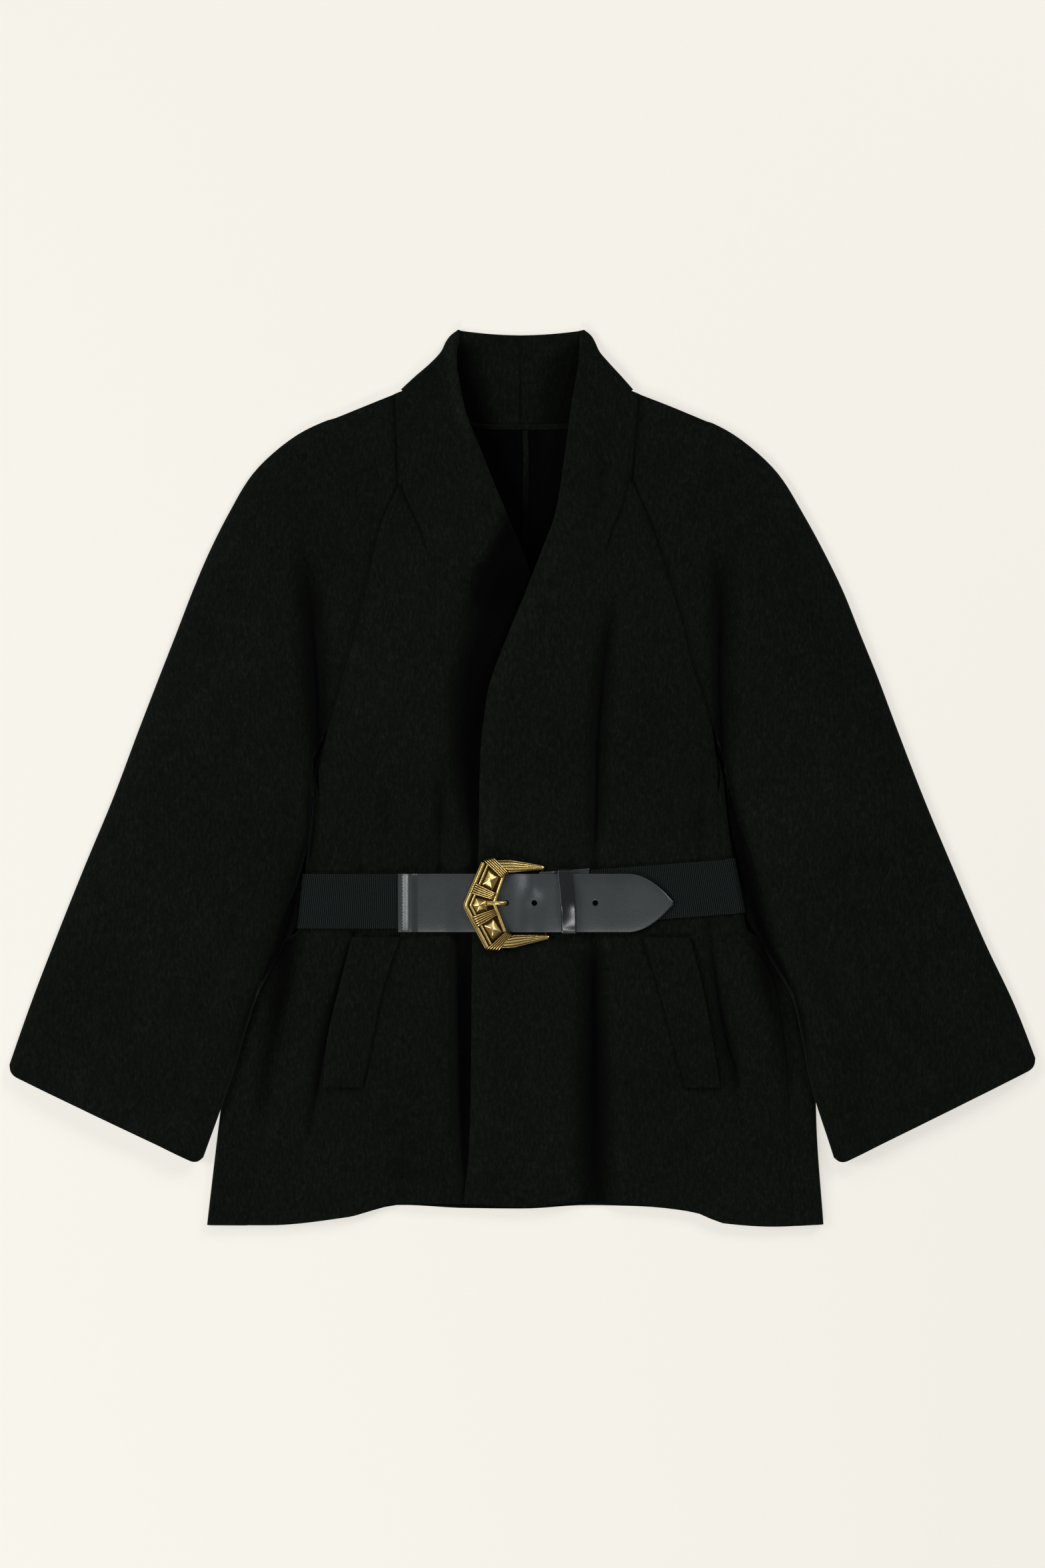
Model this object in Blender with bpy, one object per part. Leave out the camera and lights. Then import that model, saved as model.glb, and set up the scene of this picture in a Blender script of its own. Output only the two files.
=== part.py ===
# Short belted wool cape-jacket, laid flat on its back, front side up.
# Left and right are the sides as seen from above with the collar at the top.
# All sizes below are millimetres; meshes are written in metres.
import math

import bmesh
import bpy
import numpy as np
from mathutils import Matrix, Vector
from mathutils.bvhtree import BVHTree

MM = 0.001

# Cloth and clearances
WALL = 2.0
SEAM_HALF = 0.18
REST_GAP = 0.3
GROUND_MID = WALL / 2
CENTRE_X = -2.0
BACK_NECK_Y = 303.0
NECK_POINT_Y = 332.0
UNDERARM_Y = 8.0
NECK_CLEARANCE = 2.2
BACK_NECK_EASE = 1.5
COLLAR_HALF_GAP = 0.4
UNDERLAP_START = 38.0
UNDERLAP_END = 4.0

# Belt
ELASTIC_WIDTH = 47.0
ELASTIC_WALL = 1.8
LEATHER_WIDTH = 50.0
LEATHER_WALL = 2.2
STRAP_Y = -107.2
STRAP_START_X = -107.0
STRAP_TAPER_X = 96.0
STRAP_TIP_X = 129.7
STRAP_POINT_SHARE = 0.93
STRAP_POINT_POWER = 1.9
HOLE_X = (-11.0, 10.1, 63.0)
HOLE_RADIUS = 2.6
HOLE_SIDES = 12
HOLE_TURN = 0.2
LEFT_ELASTIC_END_X = -94.0
RIGHT_ELASTIC_END_X = 58.0
SIDE_X = 190.0
LEFT_BELT_Y = -105.8
RIGHT_BELT_X = 63.0
RIGHT_BELT_Y = -102.0
RIGHT_BELT_SLOPE = 0.075
CHAPE_START_X = 24.0
CHAPE_END_X = 57.5
KEEPER_X = (30.0, 42.6)
KEEPER_Y = (-77.6, -134.9)
KEEPER_WALL = 1.8
BAR_RADIUS = 1.6
BAR_TOP = (17.0, -77.6)
BAR_BOTTOM = (20.5, -137.0)
BAR_REACH = 14.0
BAR_MARGIN = 0.04
STRAP_SHARES = (-1, -0.36, 0.36, 1)
KEEPER_REACH = 10.0
KEEPER_FOOT_Y = (-85.0, -105.0)
BUCKLE_SPAN_X = (-62.0, -5.0)
CHANNEL_DEPTH = ELASTIC_WALL + REST_GAP
SUPPORT_REACH = 9.0

# Mesh density: columns across each panel
FRONT_COLUMNS = 19
SLEEVE_COLUMNS = 11
FOLD_STEPS = 5


def table(names, *rows):
    """Short table with named columns, one row for each section."""
    return dict(zip(names.split(), np.array(rows, float).T))


# Body sections from hem to underarm: where the back folds over, and the side seam inside it
BODY = table(
    "y fold_left seam_left fold_right seam_right",
    (-386, -271, -237, 258.5, 234),
    (-300, -261, -221, 252.5, 231),
    (-245, -254, -211, 251, 227),
    (-205, -247, -204, 246, 222),
    (-175, -235, -198, 237, 216),
    (-152, -217, -191, 220, 204),
    (-140, -204, -187, 206, 194),
    (-131, -192, -182.5, 192.6, 184),
    (-107, -189, -180, 187.8, 179),
    (-66, -184.5, -177, 179.7, 172.5),
    (-30, -180.5, -175.5, 175, 169),
    (8, -179, -175.5, 171.5, 168),
)

# Height of the fronts' middle surface: at the outer seam, half way, and at the centre;
# under_drop is how far the covered front sinks below the covering one
HEIGHTS = table(
    "y outer half centre under_drop",
    (-386, 8, 9, 10, 4),
    (-330, 8.5, 13, 15, 7),
    (-250, 9, 16, 18, 8),
    (-180, 9, 15.5, 17.5, 8),
    (-138, 9.1, 12, 13.5, 3.6),
    (-107, 9.1, 12, 13.5, 3.6),
    (-66, 9.1, 12, 13.5, 3.6),
    (-30, 8, 16, 17.5, 7),
    (8, 6.5, 18, 20, 9),
    (60, 9.5, 20, 22, 9),
    (134, 11, 21, 23, 9),
    (175, 11.5, 21, 22.5, 6),
    (215, 12, 20.5, 22, 0),
    (253, 13, 20, 21, 0),
    (290, 11, 18.5, 19.5, 0),
    (331, 6, 14, 15, 0),
    (345, 8.5, 12.5, 13, 0),
    (381, 6.5, 8, 8, 0),
)

# Front edges: the right front lies over, the left one runs on beneath it
EDGES = table(
    "y left right",
    (-386, 30, -51),
    (-337, 30, -47),
    (-269, 30, -44.6),
    (-132, 30, -43.4),
    (-69, 30, -38.2),
    (17, 30, -36.5),
    (73, 28, -30.2),
    (123, 22, -12.9),
    (155, 14, 0.3),
    (193, 1, 15.2),
    (231, -14.7, 28.8),
    (277, -33.6, 36),
    (324, -50.9, 42.3),
    (363, -56.5, 48.5),
    (384, -54, 49.5),
)

# Hem height across the width; the back hem hangs a little lower in the middle
HEM = table(
    "x front back",
    (-271, -386, -386),
    (-220, -385.7, -386),
    (-151, -378.5, -379),
    (-105, -367, -370),
    (-50, -366.5, -371),
    (0, -369.5, -371.5),
    (55, -366, -370),
    (101, -368, -370.5),
    (147, -373, -375),
    (175, -383.5, -384),
    (216, -386.2, -386.2),
    (258, -384.5, -384.5),
)
HEM_BASE_Y = -386.0
HEM_FADE_Y = -310.0

# Outer fold of the collar from neck point to top corner, and the top edge at centre back
COLLAR_FOLD = table(
    "y left right",
    (332, -108.4, 99.6),
    (345, -94, 87.7),
    (358.5, -79.1, 75.6),
    (372, -69.5, 65),
    (382, -63.5, 60.7),
)
COLLAR_TOP_Y = 386.2

# Sleeve sections from the neck seam to the cuff. Row 8 is the underarm point: above it the inner
# end is the front raglan seam and (back_x, back_y) the back one; below it both are the underarm
# seam, lifted where the sleeve lies on the skirt. The flange is the flat strip beside that seam
# before the sleeve rises.
SLEEVE_LEFT = table(
    "in_x in_y out_x out_y back_x back_y crown lift flange",
    (-107.5, 252, -110.5, 331, -72, 318, 0, 0, 0),
    (-121, 223, -150.4, 314.8, -86, 284, 3, 0, 0),
    (-130, 192, -190, 297.6, -101, 245, 7, 0, 0),
    (-136, 162, -230.9, 263.1, -115, 205, 10, 0, 0),
    (-143.5, 134, -252.1, 228.6, -128, 165, 12, 0, 0),
    (-153, 99, -270, 193, -142, 124, 13, 0, 0),
    (-160, 73, -284, 160, -153, 88, 14, 0, 0),
    (-168, 44, -297.5, 125, -165, 52, 15, 0, 0),
    (-181.5, 10, -312, 88, -181.5, 10, 15, 0, 0),
    (-182.3, -40, -331, 38.8, -182.3, -40, 15, 0, 1),
    (-192.5, -85, -352, -17, -192.5, -85, 15, 3, 1),
    (-207, -137, -377, -77, -207, -137, 14, 11, 6),
    (-231, -190, -403, -142, -231, -190, 14, 11, 0),
    (-250, -253, -424, -197, -250, -253, 13, 11.5, 0),
    (-278, -332, -444, -252, -278, -332, 13, 6, 0),
)
SLEEVE_RIGHT = table(
    "in_x in_y out_x out_y back_x back_y crown lift flange",
    (94, 258, 100.8, 331, 66, 318, 0, 0, 0),
    (110.7, 220.5, 141.7, 314.8, 79, 284, 3, 0, 0),
    (121, 192, 178.5, 297.6, 93, 245, 7, 0, 0),
    (131.4, 160, 218.8, 263.1, 107, 205, 10, 0, 0),
    (141, 128.5, 240.6, 228.6, 120, 165, 12, 0, 0),
    (147.5, 99, 260, 193, 134, 124, 13, 0, 0),
    (155.5, 76, 276, 160, 146, 88, 14, 0, 0),
    (163.5, 46, 290, 125, 158, 52, 15, 0, 0),
    (174.5, 10, 305, 88, 174.5, 10, 15, 0, 0),
    (179.5, -36, 323.4, 38.8, 179.5, -36, 15, 0, 6),
    (191, -88, 345, -17, 191, -88, 15, 3, 12.5),
    (210.5, -140, 370, -77, 210.5, -140, 14, 11, 9),
    (235, -192, 398, -142, 235, -192, 14, 11, 0),
    (249, -262, 424, -197, 249, -262, 13, 11.5, 0),
    (272, -333.3, 444, -248.2, 272, -333.3, 13, 6, 0),
)
SLEEVES = {"left": SLEEVE_LEFT, "right": SLEEVE_RIGHT}
UNDERARM_ROW = 8
CUFF_ROW = 14
SLEEVE_ROWS = tuple(range(UNDERARM_ROW)) + (8, 8.6, 9.3, 10, 10.7, 11.4, 12.1, 12.8, 13.4, 14)
SLEEVE_BACK_COLUMNS = (0, 0.08, 0.2, 0.55, 1)

# Largest folds, each a soft trough: its line (x at each y), half width and depth
FOLDS = {
    "front_left": (
        table("y x width depth", (-64, -71, 11, 0), (-30, -71, 12, 4), (45, -66, 14, 0)),
        table("y x width depth", (-64, -120, 12, 0), (-30, -118, 13, 3), (25, -112, 14, 0)),
        table("y x width depth", (-326, -187, 12, 0), (-230, -172, 13, 5), (-140, -152, 12, 1)),
        table("y x width depth", (-386, -105, 22, 2), (-290, -100, 18, 3), (-150, -92, 14, 0)),
    ),
    "front_right": (
        table("y x width depth", (-64, 63, 11, 0), (-30, 64, 12, 6), (90, 69, 15, 6), (185, 84, 15, 0)),
        table("y x width depth", (-64, 152, 12, 0), (-35, 153, 13, 3), (25, 155, 14, 0)),
        table("y x width depth", (-386, 61, 22, 4), (-270, 61, 17, 8), (-160, 60, 13, 6), (-140, 60, 12, 0)),
        table("y x width depth", (-290, 187, 12, 0), (-225, 177, 13, 5), (-140, 163, 12, 1)),
    ),
    "sleeve_front_left": (
        table("y x width depth", (5, -186, 16, 0), (60, -180, 16, 9), (142, -184, 18, 9),
              (225, -192, 20, 0)),
    ),
    "sleeve_front_right": (
        table("y x width depth", (5, 178, 16, 0), (60, 174, 16, 9), (142, 173, 18, 9), (225, 172, 20, 0)),
    ),
}

# Pocket welts: the sewn side and the open side, from top to bottom
WELTS = {
    "pocket_welt_left": table(
        "y sewn open",
        (-266, -138, -171), (-230, -130.5, -168), (-180, -120, -157), (-137, -106, -146)),
    "pocket_welt_right": table(
        "y sewn open",
        (-266, 140.5, 170), (-230, 131, 164), (-180, 117, 155), (-137, 104, 144)),
}
WELT_WALL = 2.4
WELT_ROWS = 10
WELT_COLUMNS = 4
WELT_REACH = 7.0

# Tape over the back neck seam
TAPE_X = (-46.0, 41.0)
TAPE_HALF = 4.5
TAPE_Z = 2.8
TAPE_WALL = 0.8
TAPE_RISE = 10.0
TAPE_SPAN = 70.0

# Buckle sections round its open C, from the upper arm's tip to the lower one's
BUCKLE = table(
    "out_x out_y in_x in_y drop height",
    (20.5, -75.8, 20.5, -79.4, 2.4, 3.2),
    (0, -72.5, 0, -80.6, 1.2, 4.2),
    (-13, -69.5, -13, -81.4, 0, 5.0),
    (-27, -68, -15.5, -84, 0, 5.4),
    (-35, -71.6, -19, -92, 0, 5.4),
    (-45, -91, -22, -101.5, 0, 5.6),
    (-52, -109.5, -22.3, -108, 0, 5.8),
    (-44.5, -128, -21.5, -115, 0, 5.6),
    (-32, -146.3, -17.5, -123.5, 0, 5.4),
    (-18, -147.8, -12.5, -132.6, 0, 5.2),
    (-5, -145, -8, -135.2, 0.6, 4.8),
    (9, -141.7, 9, -136.2, 1.6, 4.0),
    (23.9, -138.4, 23.9, -135, 2.4, 3.2),
)
# Square studs on the buckle: centre, half size, turn in degrees
STUDS = table("x y half turn", (-27, -87.7, 5.5, 28), (-37, -109, 5.6, 45), (-26, -129.4, 5.5, -28))
STUD_RISE = 2.2
PRONG_TIP_X = -11.0
PRONG_ROOT_X = -27.0
PRONG_RADIUS = 1.7
PRONG_ROOT_RISE = 2.6
PRONG_TIP_RISE = 2.2
PRONG_BEND_RISE = 2.4
PRONG_OVERRUN = 1.0
STUD_ROOT = 3.0
STUD_TOP_SHARE = 0.3
FRAME_TOP = 5.4
BUCKLE_PROFILE = ((0, 0), (0.1, 0.68), (0.34, 1), (0.66, 1), (0.9, 0.68), (1, 0))


def flow(xs, ys, x):
    """Smooth curve through (xs, ys) that never overshoots its rows."""
    x = np.asarray(x, float)
    step = np.diff(xs)
    slope = np.diff(ys) / step
    product = slope[:-1] * slope[1:]
    total = np.where(product > 0, slope[:-1] + slope[1:], 1.0)
    tangent = np.concatenate(([slope[0]], np.where(product > 0, 2 * product / total, 0.0), [slope[-1]]))
    i = np.clip(np.searchsorted(xs, x) - 1, 0, len(step) - 1)
    t = np.clip((x - xs[i]) / step[i], 0, 1)
    start = ys[i] * (1 + 2 * t) * (1 - t) ** 2 + tangent[i] * step[i] * t * (1 - t) ** 2
    end = ys[i + 1] * t * t * (3 - 2 * t) + tangent[i + 1] * step[i] * t * t * (t - 1)
    return start + end


def at(rows, name, value, key="y"):
    return flow(rows[key], rows[name], value)


def sleeve_at(side, name, row):
    rows = SLEEVES[side]
    return flow(np.arange(CUFF_ROW + 1.0), rows[name], row)


def ramp(value, start, end):
    t = np.clip((np.asarray(value, float) - start) / (end - start), 0, 1)
    return t * t * (3 - 2 * t)


def channel(y):
    """How far the back panels are lifted where the belt passes under them."""
    return CHANNEL_DEPTH * ramp(y, -152, -131) * (1 - ramp(y, -62, -44))


def fold_radius(y):
    return (at(HEIGHTS, "outer", y) - GROUND_MID - channel(y)) / 2


def fold_depth(panel, x, y):
    depth = 0.0
    for fold in FOLDS.get(panel, ()):
        inside = (y >= fold["y"][0]) & (y <= fold["y"][-1])
        away = (x - at(fold, "x", y)) / at(fold, "width", y)
        depth = depth + np.where(inside, at(fold, "depth", y), 0.0) * np.exp(-away * away)
    return depth


def hem_shift(name, x, y):
    return (at(HEM, name, x, "x") - HEM_BASE_Y) * (1 - ramp(y, HEM_BASE_Y, HEM_FADE_Y))


def cosine_spread(count):
    return (1 - np.cos(np.linspace(0, math.pi, count))) / 2


def material(name, colour, roughness, metallic):
    made = bpy.data.materials.new(name)
    made.use_nodes = True
    shader = made.node_tree.nodes["Principled BSDF"]
    shader.inputs["Base Color"].default_value = (*colour, 1)
    shader.inputs["Roughness"].default_value = roughness
    shader.inputs["Metallic"].default_value = metallic
    return made


def add_object(name, mesh, finish):
    mesh.materials.append(finish)
    mesh.shade_smooth()
    mesh.set_sharp_from_angle(angle=math.radians(50))
    made = bpy.data.objects.new(name, mesh)
    bpy.context.scene.collection.objects.link(made)
    return made


def cloth(name, grids, finish, wall=WALL, upright=True):
    """Closed wall round a middle surface of one or more point grids that share edge points.

    The first grid faces up. With upright set, open edges stand straight up, so that two
    panels that meet at a seam keep their clear width all through the wall."""
    mesh = bmesh.new()
    known = {}
    for grid in grids:
        corners = []
        for line in grid:
            for point in line:
                key = tuple(np.round(point, 3))
                if key not in known:
                    known[key] = mesh.verts.new(point)
                corners.append(known[key])
        count = len(grid[0])
        for row in range(len(grid) - 1):
            for column in range(count - 1):
                start = row * count + column
                next_row = start + count
                ring = [corners[start], corners[start + 1], corners[next_row + 1], corners[next_row]]
                ring = list(dict.fromkeys(ring))
                if len(ring) > 2:
                    mesh.faces.new(ring)
    bmesh.ops.recalc_face_normals(mesh, faces=mesh.faces)
    mesh.faces.ensure_lookup_table()
    if mesh.faces[0].normal.z < 0:
        bmesh.ops.reverse_faces(mesh, faces=mesh.faces)
    mesh.normal_update()
    mesh.verts.index_update()
    points = [vert.co.copy() for vert in mesh.verts]
    offsets = []
    for vert in mesh.verts:
        lies_flat = abs(vert.normal.z) > 0.6
        sense = 1 if vert.normal.z >= 0 else -1
        straight_up = upright and vert.is_boundary and lies_flat
        offsets.append(Vector((0, 0, sense)) if straight_up else vert.normal.copy())
    total = len(points)
    outer = [(p + n * wall / 2) * MM for p, n in zip(points, offsets)]
    inner = [(p - n * wall / 2) * MM for p, n in zip(points, offsets)]
    faces = []
    for face in mesh.faces:
        ring = [vert.index for vert in face.verts]
        faces.append(ring)
        faces.append([index + total for index in reversed(ring)])
        for loop in face.loops:
            if loop.edge.is_boundary:
                a = loop.vert.index
                b = loop.link_loop_next.vert.index
                faces.append([a + total, b + total, b, a])
    mesh.free()
    made = bpy.data.meshes.new(name)
    made.from_pydata(outer + inner, [], faces)
    return add_object(name, made, finish)


# Front panels with the collar grown on

def body_rows():
    levels = (-386, -372, -345, -315, -282, -250, -218, -192, -172, -152, -140, -131,
              -107, -66, -45, -20, UNDERARM_Y)
    return np.array(levels, float)


def front_rows(side):
    """Rows of a front from hem to collar top: height and outer seam, shared with its neighbours."""
    rows = [(y, float(at(BODY, "seam_" + side, y))) for y in body_rows()]
    for row in range(UNDERARM_ROW - 1, -1, -1):
        rows.append((float(sleeve_at(side, "in_y", row)), float(sleeve_at(side, "in_x", row))))
    for point in neck_seam(side)[1:]:
        rows.append((point[1], point[0]))
    return rows


def neck_seam(side):
    """Points from the raglan seam's top up to the neck point."""
    start = np.array((sleeve_at(side, "in_x", 0), sleeve_at(side, "in_y", 0)))
    end = np.array((sleeve_at(side, "out_x", 0), sleeve_at(side, "out_y", 0)))
    return [tuple(start + (end - start) * t) for t in (0, 0.25, 0.5, 0.75, 1)]


def front_height(side, x, y, outer_x):
    across = np.clip((x - CENTRE_X) / (outer_x - CENTRE_X), 0, 1)
    outer = at(HEIGHTS, "outer", y)
    half = at(HEIGHTS, "half", y)
    centre = at(HEIGHTS, "centre", y)
    height = centre * (1 - across) * (1 - 2 * across) + 4 * half * across * (1 - across)
    height = height + outer * across * (2 * across - 1)
    fade = ramp(1 - across, 0, 0.12)
    height = height - fold_depth("front_" + side, x, y) * fade
    if side == "left":
        edge = at(EDGES, "right", y)
        height = height - at(HEIGHTS, "under_drop", y) * ramp(x, edge - UNDERLAP_START, edge - UNDERLAP_END)
    return height


def front_line(side, y, outer_x, columns=FRONT_COLUMNS):
    """One row of points of a front, from its outer seam to its edge."""
    inward = 1 if side == "left" else -1
    start = outer_x + SEAM_HALF * inward
    edge = at(EDGES, side, y)
    x = start + (edge - start) * np.linspace(0, 1, columns)
    z = front_height(side, x, y, outer_x)
    return np.stack((x, y + hem_shift("front", x, y), z), axis=1)


def collar_row(side, y):
    """Fold of the collar at a height: its outermost x, radius and inward direction."""
    fold_x = float(at(COLLAR_FOLD, side, y))
    radius = float(at(HEIGHTS, "outer", y) - GROUND_MID) / 2
    return fold_x, radius, (1 if side == "left" else -1)


def front_panel(side, finish):
    lines = [front_line(side, y, outer_x) for y, outer_x in front_rows(side)]
    wrap = []
    heights = (NECK_POINT_Y + 2.5, 345, 358.5, 372, 381)
    for step, y in enumerate(heights):
        fold_x, radius, inward = collar_row(side, y)
        line = front_line(side, y, fold_x + (radius - SEAM_HALF) * inward)
        lines.append(line)
        angles = np.linspace(0, math.pi, FOLD_STEPS + 1)
        turn_x = fold_x + radius * inward - radius * inward * np.sin(angles)
        turn_z = GROUND_MID + radius + radius * np.cos(angles)
        turn_z[0] = line[0][2]
        turn_x[0] = line[0][0]
        turn = [(a, y, b) for a, b in zip(turn_x, turn_z)]
        top = step / (len(heights) - 1)
        end_x = CENTRE_X - COLLAR_HALF_GAP * inward
        end_y = BACK_NECK_Y + 1 + (COLLAR_TOP_Y - BACK_NECK_Y - 1) * top
        for t in (0.25, 0.5, 0.75, 1):
            bend = t + (1 - top) * 0.5 * t * (1 - t)
            turn.append((turn_x[-1] + (end_x - turn_x[-1]) * t, y + (end_y - y) * bend, GROUND_MID))
        wrap.append(turn)
    return cloth("front_" + side, (lines, wrap), finish)


# Back panels, folded over at the sides

def back_panel(side, finish):
    inward = 1 if side == "left" else -1
    centre = CENTRE_X - SEAM_HALF * inward
    angles = np.linspace(0, math.pi, FOLD_STEPS + 1)
    flat = (0, 0.35, 0.7)
    lines = []
    for y in body_rows():
        fold_x = at(BODY, "fold_" + side, y)
        seam_x = at(BODY, "seam_" + side, y) - SEAM_HALF * inward
        radius = fold_radius(y)
        low = GROUND_MID + channel(y)
        turn_x = fold_x + radius * inward
        turned = angles if y < UNDERARM_Y else np.linspace(0, math.pi / 2, FOLD_STEPS + 3)
        xs = [centre + (turn_x - centre) * t for t in flat]
        zs = [low for t in flat]
        xs += list(turn_x - radius * inward * np.sin(turned))
        zs += list(low + radius - radius * np.cos(turned))
        if y < UNDERARM_Y:
            xs += [turn_x + (seam_x - turn_x) * 0.5, seam_x]
            zs += [low + 2 * radius, low + 2 * radius]
        x = np.array(xs)
        lines.append(np.stack((x, y + hem_shift("back", x, y), zs), axis=1))
    share = np.array(flat + tuple(0.7 + 0.3 * np.arange(1, FOLD_STEPS + 4) / (FOLD_STEPS + 3)))
    for row in range(UNDERARM_ROW - 1, -1, -1):
        edge_x = float(sleeve_at(side, "back_x", row)) + SEAM_HALF * inward
        edge_y = float(sleeve_at(side, "back_y", row))
        sag = 0.0
        if row == 0:
            edge_y -= NECK_CLEARANCE
            sag = BACK_NECK_Y - BACK_NECK_EASE - edge_y
        x = centre + (edge_x - centre) * share
        y = edge_y + sag * (1 - share) ** 1.4
        lines.append(np.stack((x, y, np.full(len(x), GROUND_MID)), axis=1))
    return cloth("back_" + side, (lines,), finish)


# Two-piece raglan sleeves

def sleeve_rows():
    return np.array(SLEEVE_ROWS, float)


def sleeve_back_height(side, row, u):
    return GROUND_MID + sleeve_at(side, "lift", row) * (1 - ramp(u, 0.09, 0.24))


def sleeve_front_height(side, row, u, x, y):
    seam = float(at(HEIGHTS, "outer", sleeve_at(side, "in_y", row)))
    rest = WALL + REST_GAP
    if row > UNDERARM_ROW:
        seam = seam + (GROUND_MID + rest - seam) * float(ramp(row, UNDERARM_ROW, UNDERARM_ROW + 0.9))
        edge = sleeve_back_height(side, row, u) + rest + (seam - GROUND_MID - rest) * (1 - u)
    else:
        edge = seam + (GROUND_MID + rest - seam) * u
    reach = sleeve_at(side, "out_x", row) - sleeve_at(side, "in_x", row)
    strip = sleeve_at(side, "flange", row) / abs(reach)
    raised = np.clip((u - strip) / (1 - strip), 0, 1)
    round_over = np.sqrt(np.clip(1 - np.abs(2 * raised - 1) ** 2.4, 0, 1))
    height = edge + sleeve_at(side, "crown", row) * round_over
    height = height - fold_depth("sleeve_front_" + side, x, y) * np.sqrt(round_over)
    if row < 1:
        height = height * row + at(HEIGHTS, "outer", y) * (1 - row)
    return height


def sleeve_front(side, finish):
    outward = -1 if side == "left" else 1
    lines = []
    for row in sleeve_rows():
        u = np.linspace(0, 1, SLEEVE_COLUMNS) if row == 0 else cosine_spread(SLEEVE_COLUMNS)
        start_x = sleeve_at(side, "in_x", row) + SEAM_HALF * outward
        start_y = sleeve_at(side, "in_y", row)
        x = start_x + (sleeve_at(side, "out_x", row) + SEAM_HALF * outward * (row < 1) - start_x) * u
        y = start_y + (sleeve_at(side, "out_y", row) - start_y) * u
        lines.append(np.stack((x, y, sleeve_front_height(side, row, u, x, y)), axis=1))
    return cloth("sleeve_front_" + side, (lines,), finish)


def sleeve_back(side, finish):
    outward = -1 if side == "left" else 1
    u = np.array(SLEEVE_BACK_COLUMNS)
    lines = []
    for row in sleeve_rows():
        start_x = sleeve_at(side, "back_x", row) + SEAM_HALF * outward * (row < UNDERARM_ROW)
        start_y = sleeve_at(side, "back_y", row) - NECK_CLEARANCE * (row == 0)
        end_y = sleeve_at(side, "out_y", row) - NECK_CLEARANCE * (row == 0)
        x = start_x + (sleeve_at(side, "out_x", row) - start_x) * u
        y = start_y + (end_y - start_y) * u
        lines.append(np.stack((x, y, sleeve_back_height(side, row, u)), axis=1))
    return cloth("sleeve_back_" + side, (lines,), finish)


# What lies on the panels

def tree_of(*objects):
    trees = []
    for item in objects:
        points = [vert.co for vert in item.data.vertices]
        trees.append(BVHTree.FromPolygons(points, [tuple(face.vertices) for face in item.data.polygons]))
    return trees


def top_under(x, y, trees):
    """Height of the highest surface at a place, in millimetres."""
    best = 0.0
    for tree in trees:
        hit = tree.ray_cast(Vector((x * MM, y * MM, 1)), Vector((0, 0, -1)))[0]
        if hit is not None:
            best = max(best, hit.z / MM)
    return best


def highest_near(x, low_y, high_y, trees):
    """Highest surface under a strip that crosses the belt, with a margin on both sides."""
    places = [(x + dx, y) for dx in np.linspace(-SUPPORT_REACH, SUPPORT_REACH, 5)
              for y in np.linspace(low_y, high_y, 7)]
    return max(top_under(a, b, trees) for a, b in places)


def pocket_welt(name, trees, finish):
    rows = WELTS[name]
    reach = (-WELT_REACH, 0, WELT_REACH)
    lines = []
    for y in np.linspace(rows["y"][0], rows["y"][-1], WELT_ROWS):
        sewn = float(at(rows, "sewn", y))
        opening = float(at(rows, "open", y))
        line = []
        for x in np.linspace(sewn, opening, WELT_COLUMNS):
            around = [(x + a, y + b) for a in reach for b in reach]
            support = max(top_under(a, b, trees) for a, b in around)
            line.append((x, y, support + REST_GAP + WELT_WALL / 2))
        lines.append(line)
    return cloth(name, (lines,), finish, wall=WELT_WALL)


def neck_tape(finish):
    """Narrow tape over the back neck seam."""
    lines = []
    for x in np.linspace(*TAPE_X, 9):
        y = BACK_NECK_Y + TAPE_RISE * ((x - CENTRE_X) / TAPE_SPAN) ** 2
        lines.append([(x, y - TAPE_HALF, TAPE_Z), (x, y + TAPE_HALF, TAPE_Z)])
    return cloth("neck_tape", (lines,), finish, wall=TAPE_WALL)


# Belt

def left_middle(x):
    """Line of the belt's left-hand half, which lies level."""
    return LEFT_BELT_Y


def right_middle(x):
    """Line of the belt's right-hand half, which rises towards the side."""
    return RIGHT_BELT_Y + (x - RIGHT_BELT_X) * RIGHT_BELT_SLOPE


def belt_turn(side, y):
    """Points round the body's side fold at one height, from front to ground."""
    inward = 1 if side == "left" else -1
    rows = body_rows()
    radius = np.interp(y, rows, fold_radius(rows))
    turn_x = np.interp(y, rows, at(BODY, "fold_" + side, rows)) + radius * inward
    reach = radius + WALL / 2 + REST_GAP + ELASTIC_WALL / 2
    angles = np.linspace(0, math.pi, FOLD_STEPS + 1)
    middle = GROUND_MID + np.interp(y, rows, channel(rows)) + radius
    return [(turn_x - reach * inward * math.sin(a), y, middle + reach * math.cos(a)) for a in angles]


def elastic_front(side, end_x, middle, trees):
    """Lines across the elastic on the front, from its joint to the side fold."""
    offsets = np.linspace(-0.5, 0.5, 4) * ELASTIC_WIDTH
    fold_y = middle(SIDE_X)
    first = [belt_turn(side, fold_y + offset)[0] for offset in offsets]
    lines = []
    for t in np.linspace(0, 1, 9)[:-1]:
        line = []
        for offset, turn in zip(offsets, first):
            x = end_x + (turn[0] - end_x) * t
            y = middle(abs(x)) + offset
            line.append([x, y, 0.0])
        low_y = min(point[1] for point in line)
        high_y = max(point[1] for point in line)
        mid_x = sum(point[0] for point in line) / len(line)
        height = highest_near(mid_x, low_y, high_y, trees) + REST_GAP + ELASTIC_WALL / 2
        for point, turn in zip(line, first):
            point[2] = max(height, turn[2])
        lines.append(line)
    return lines


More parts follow.
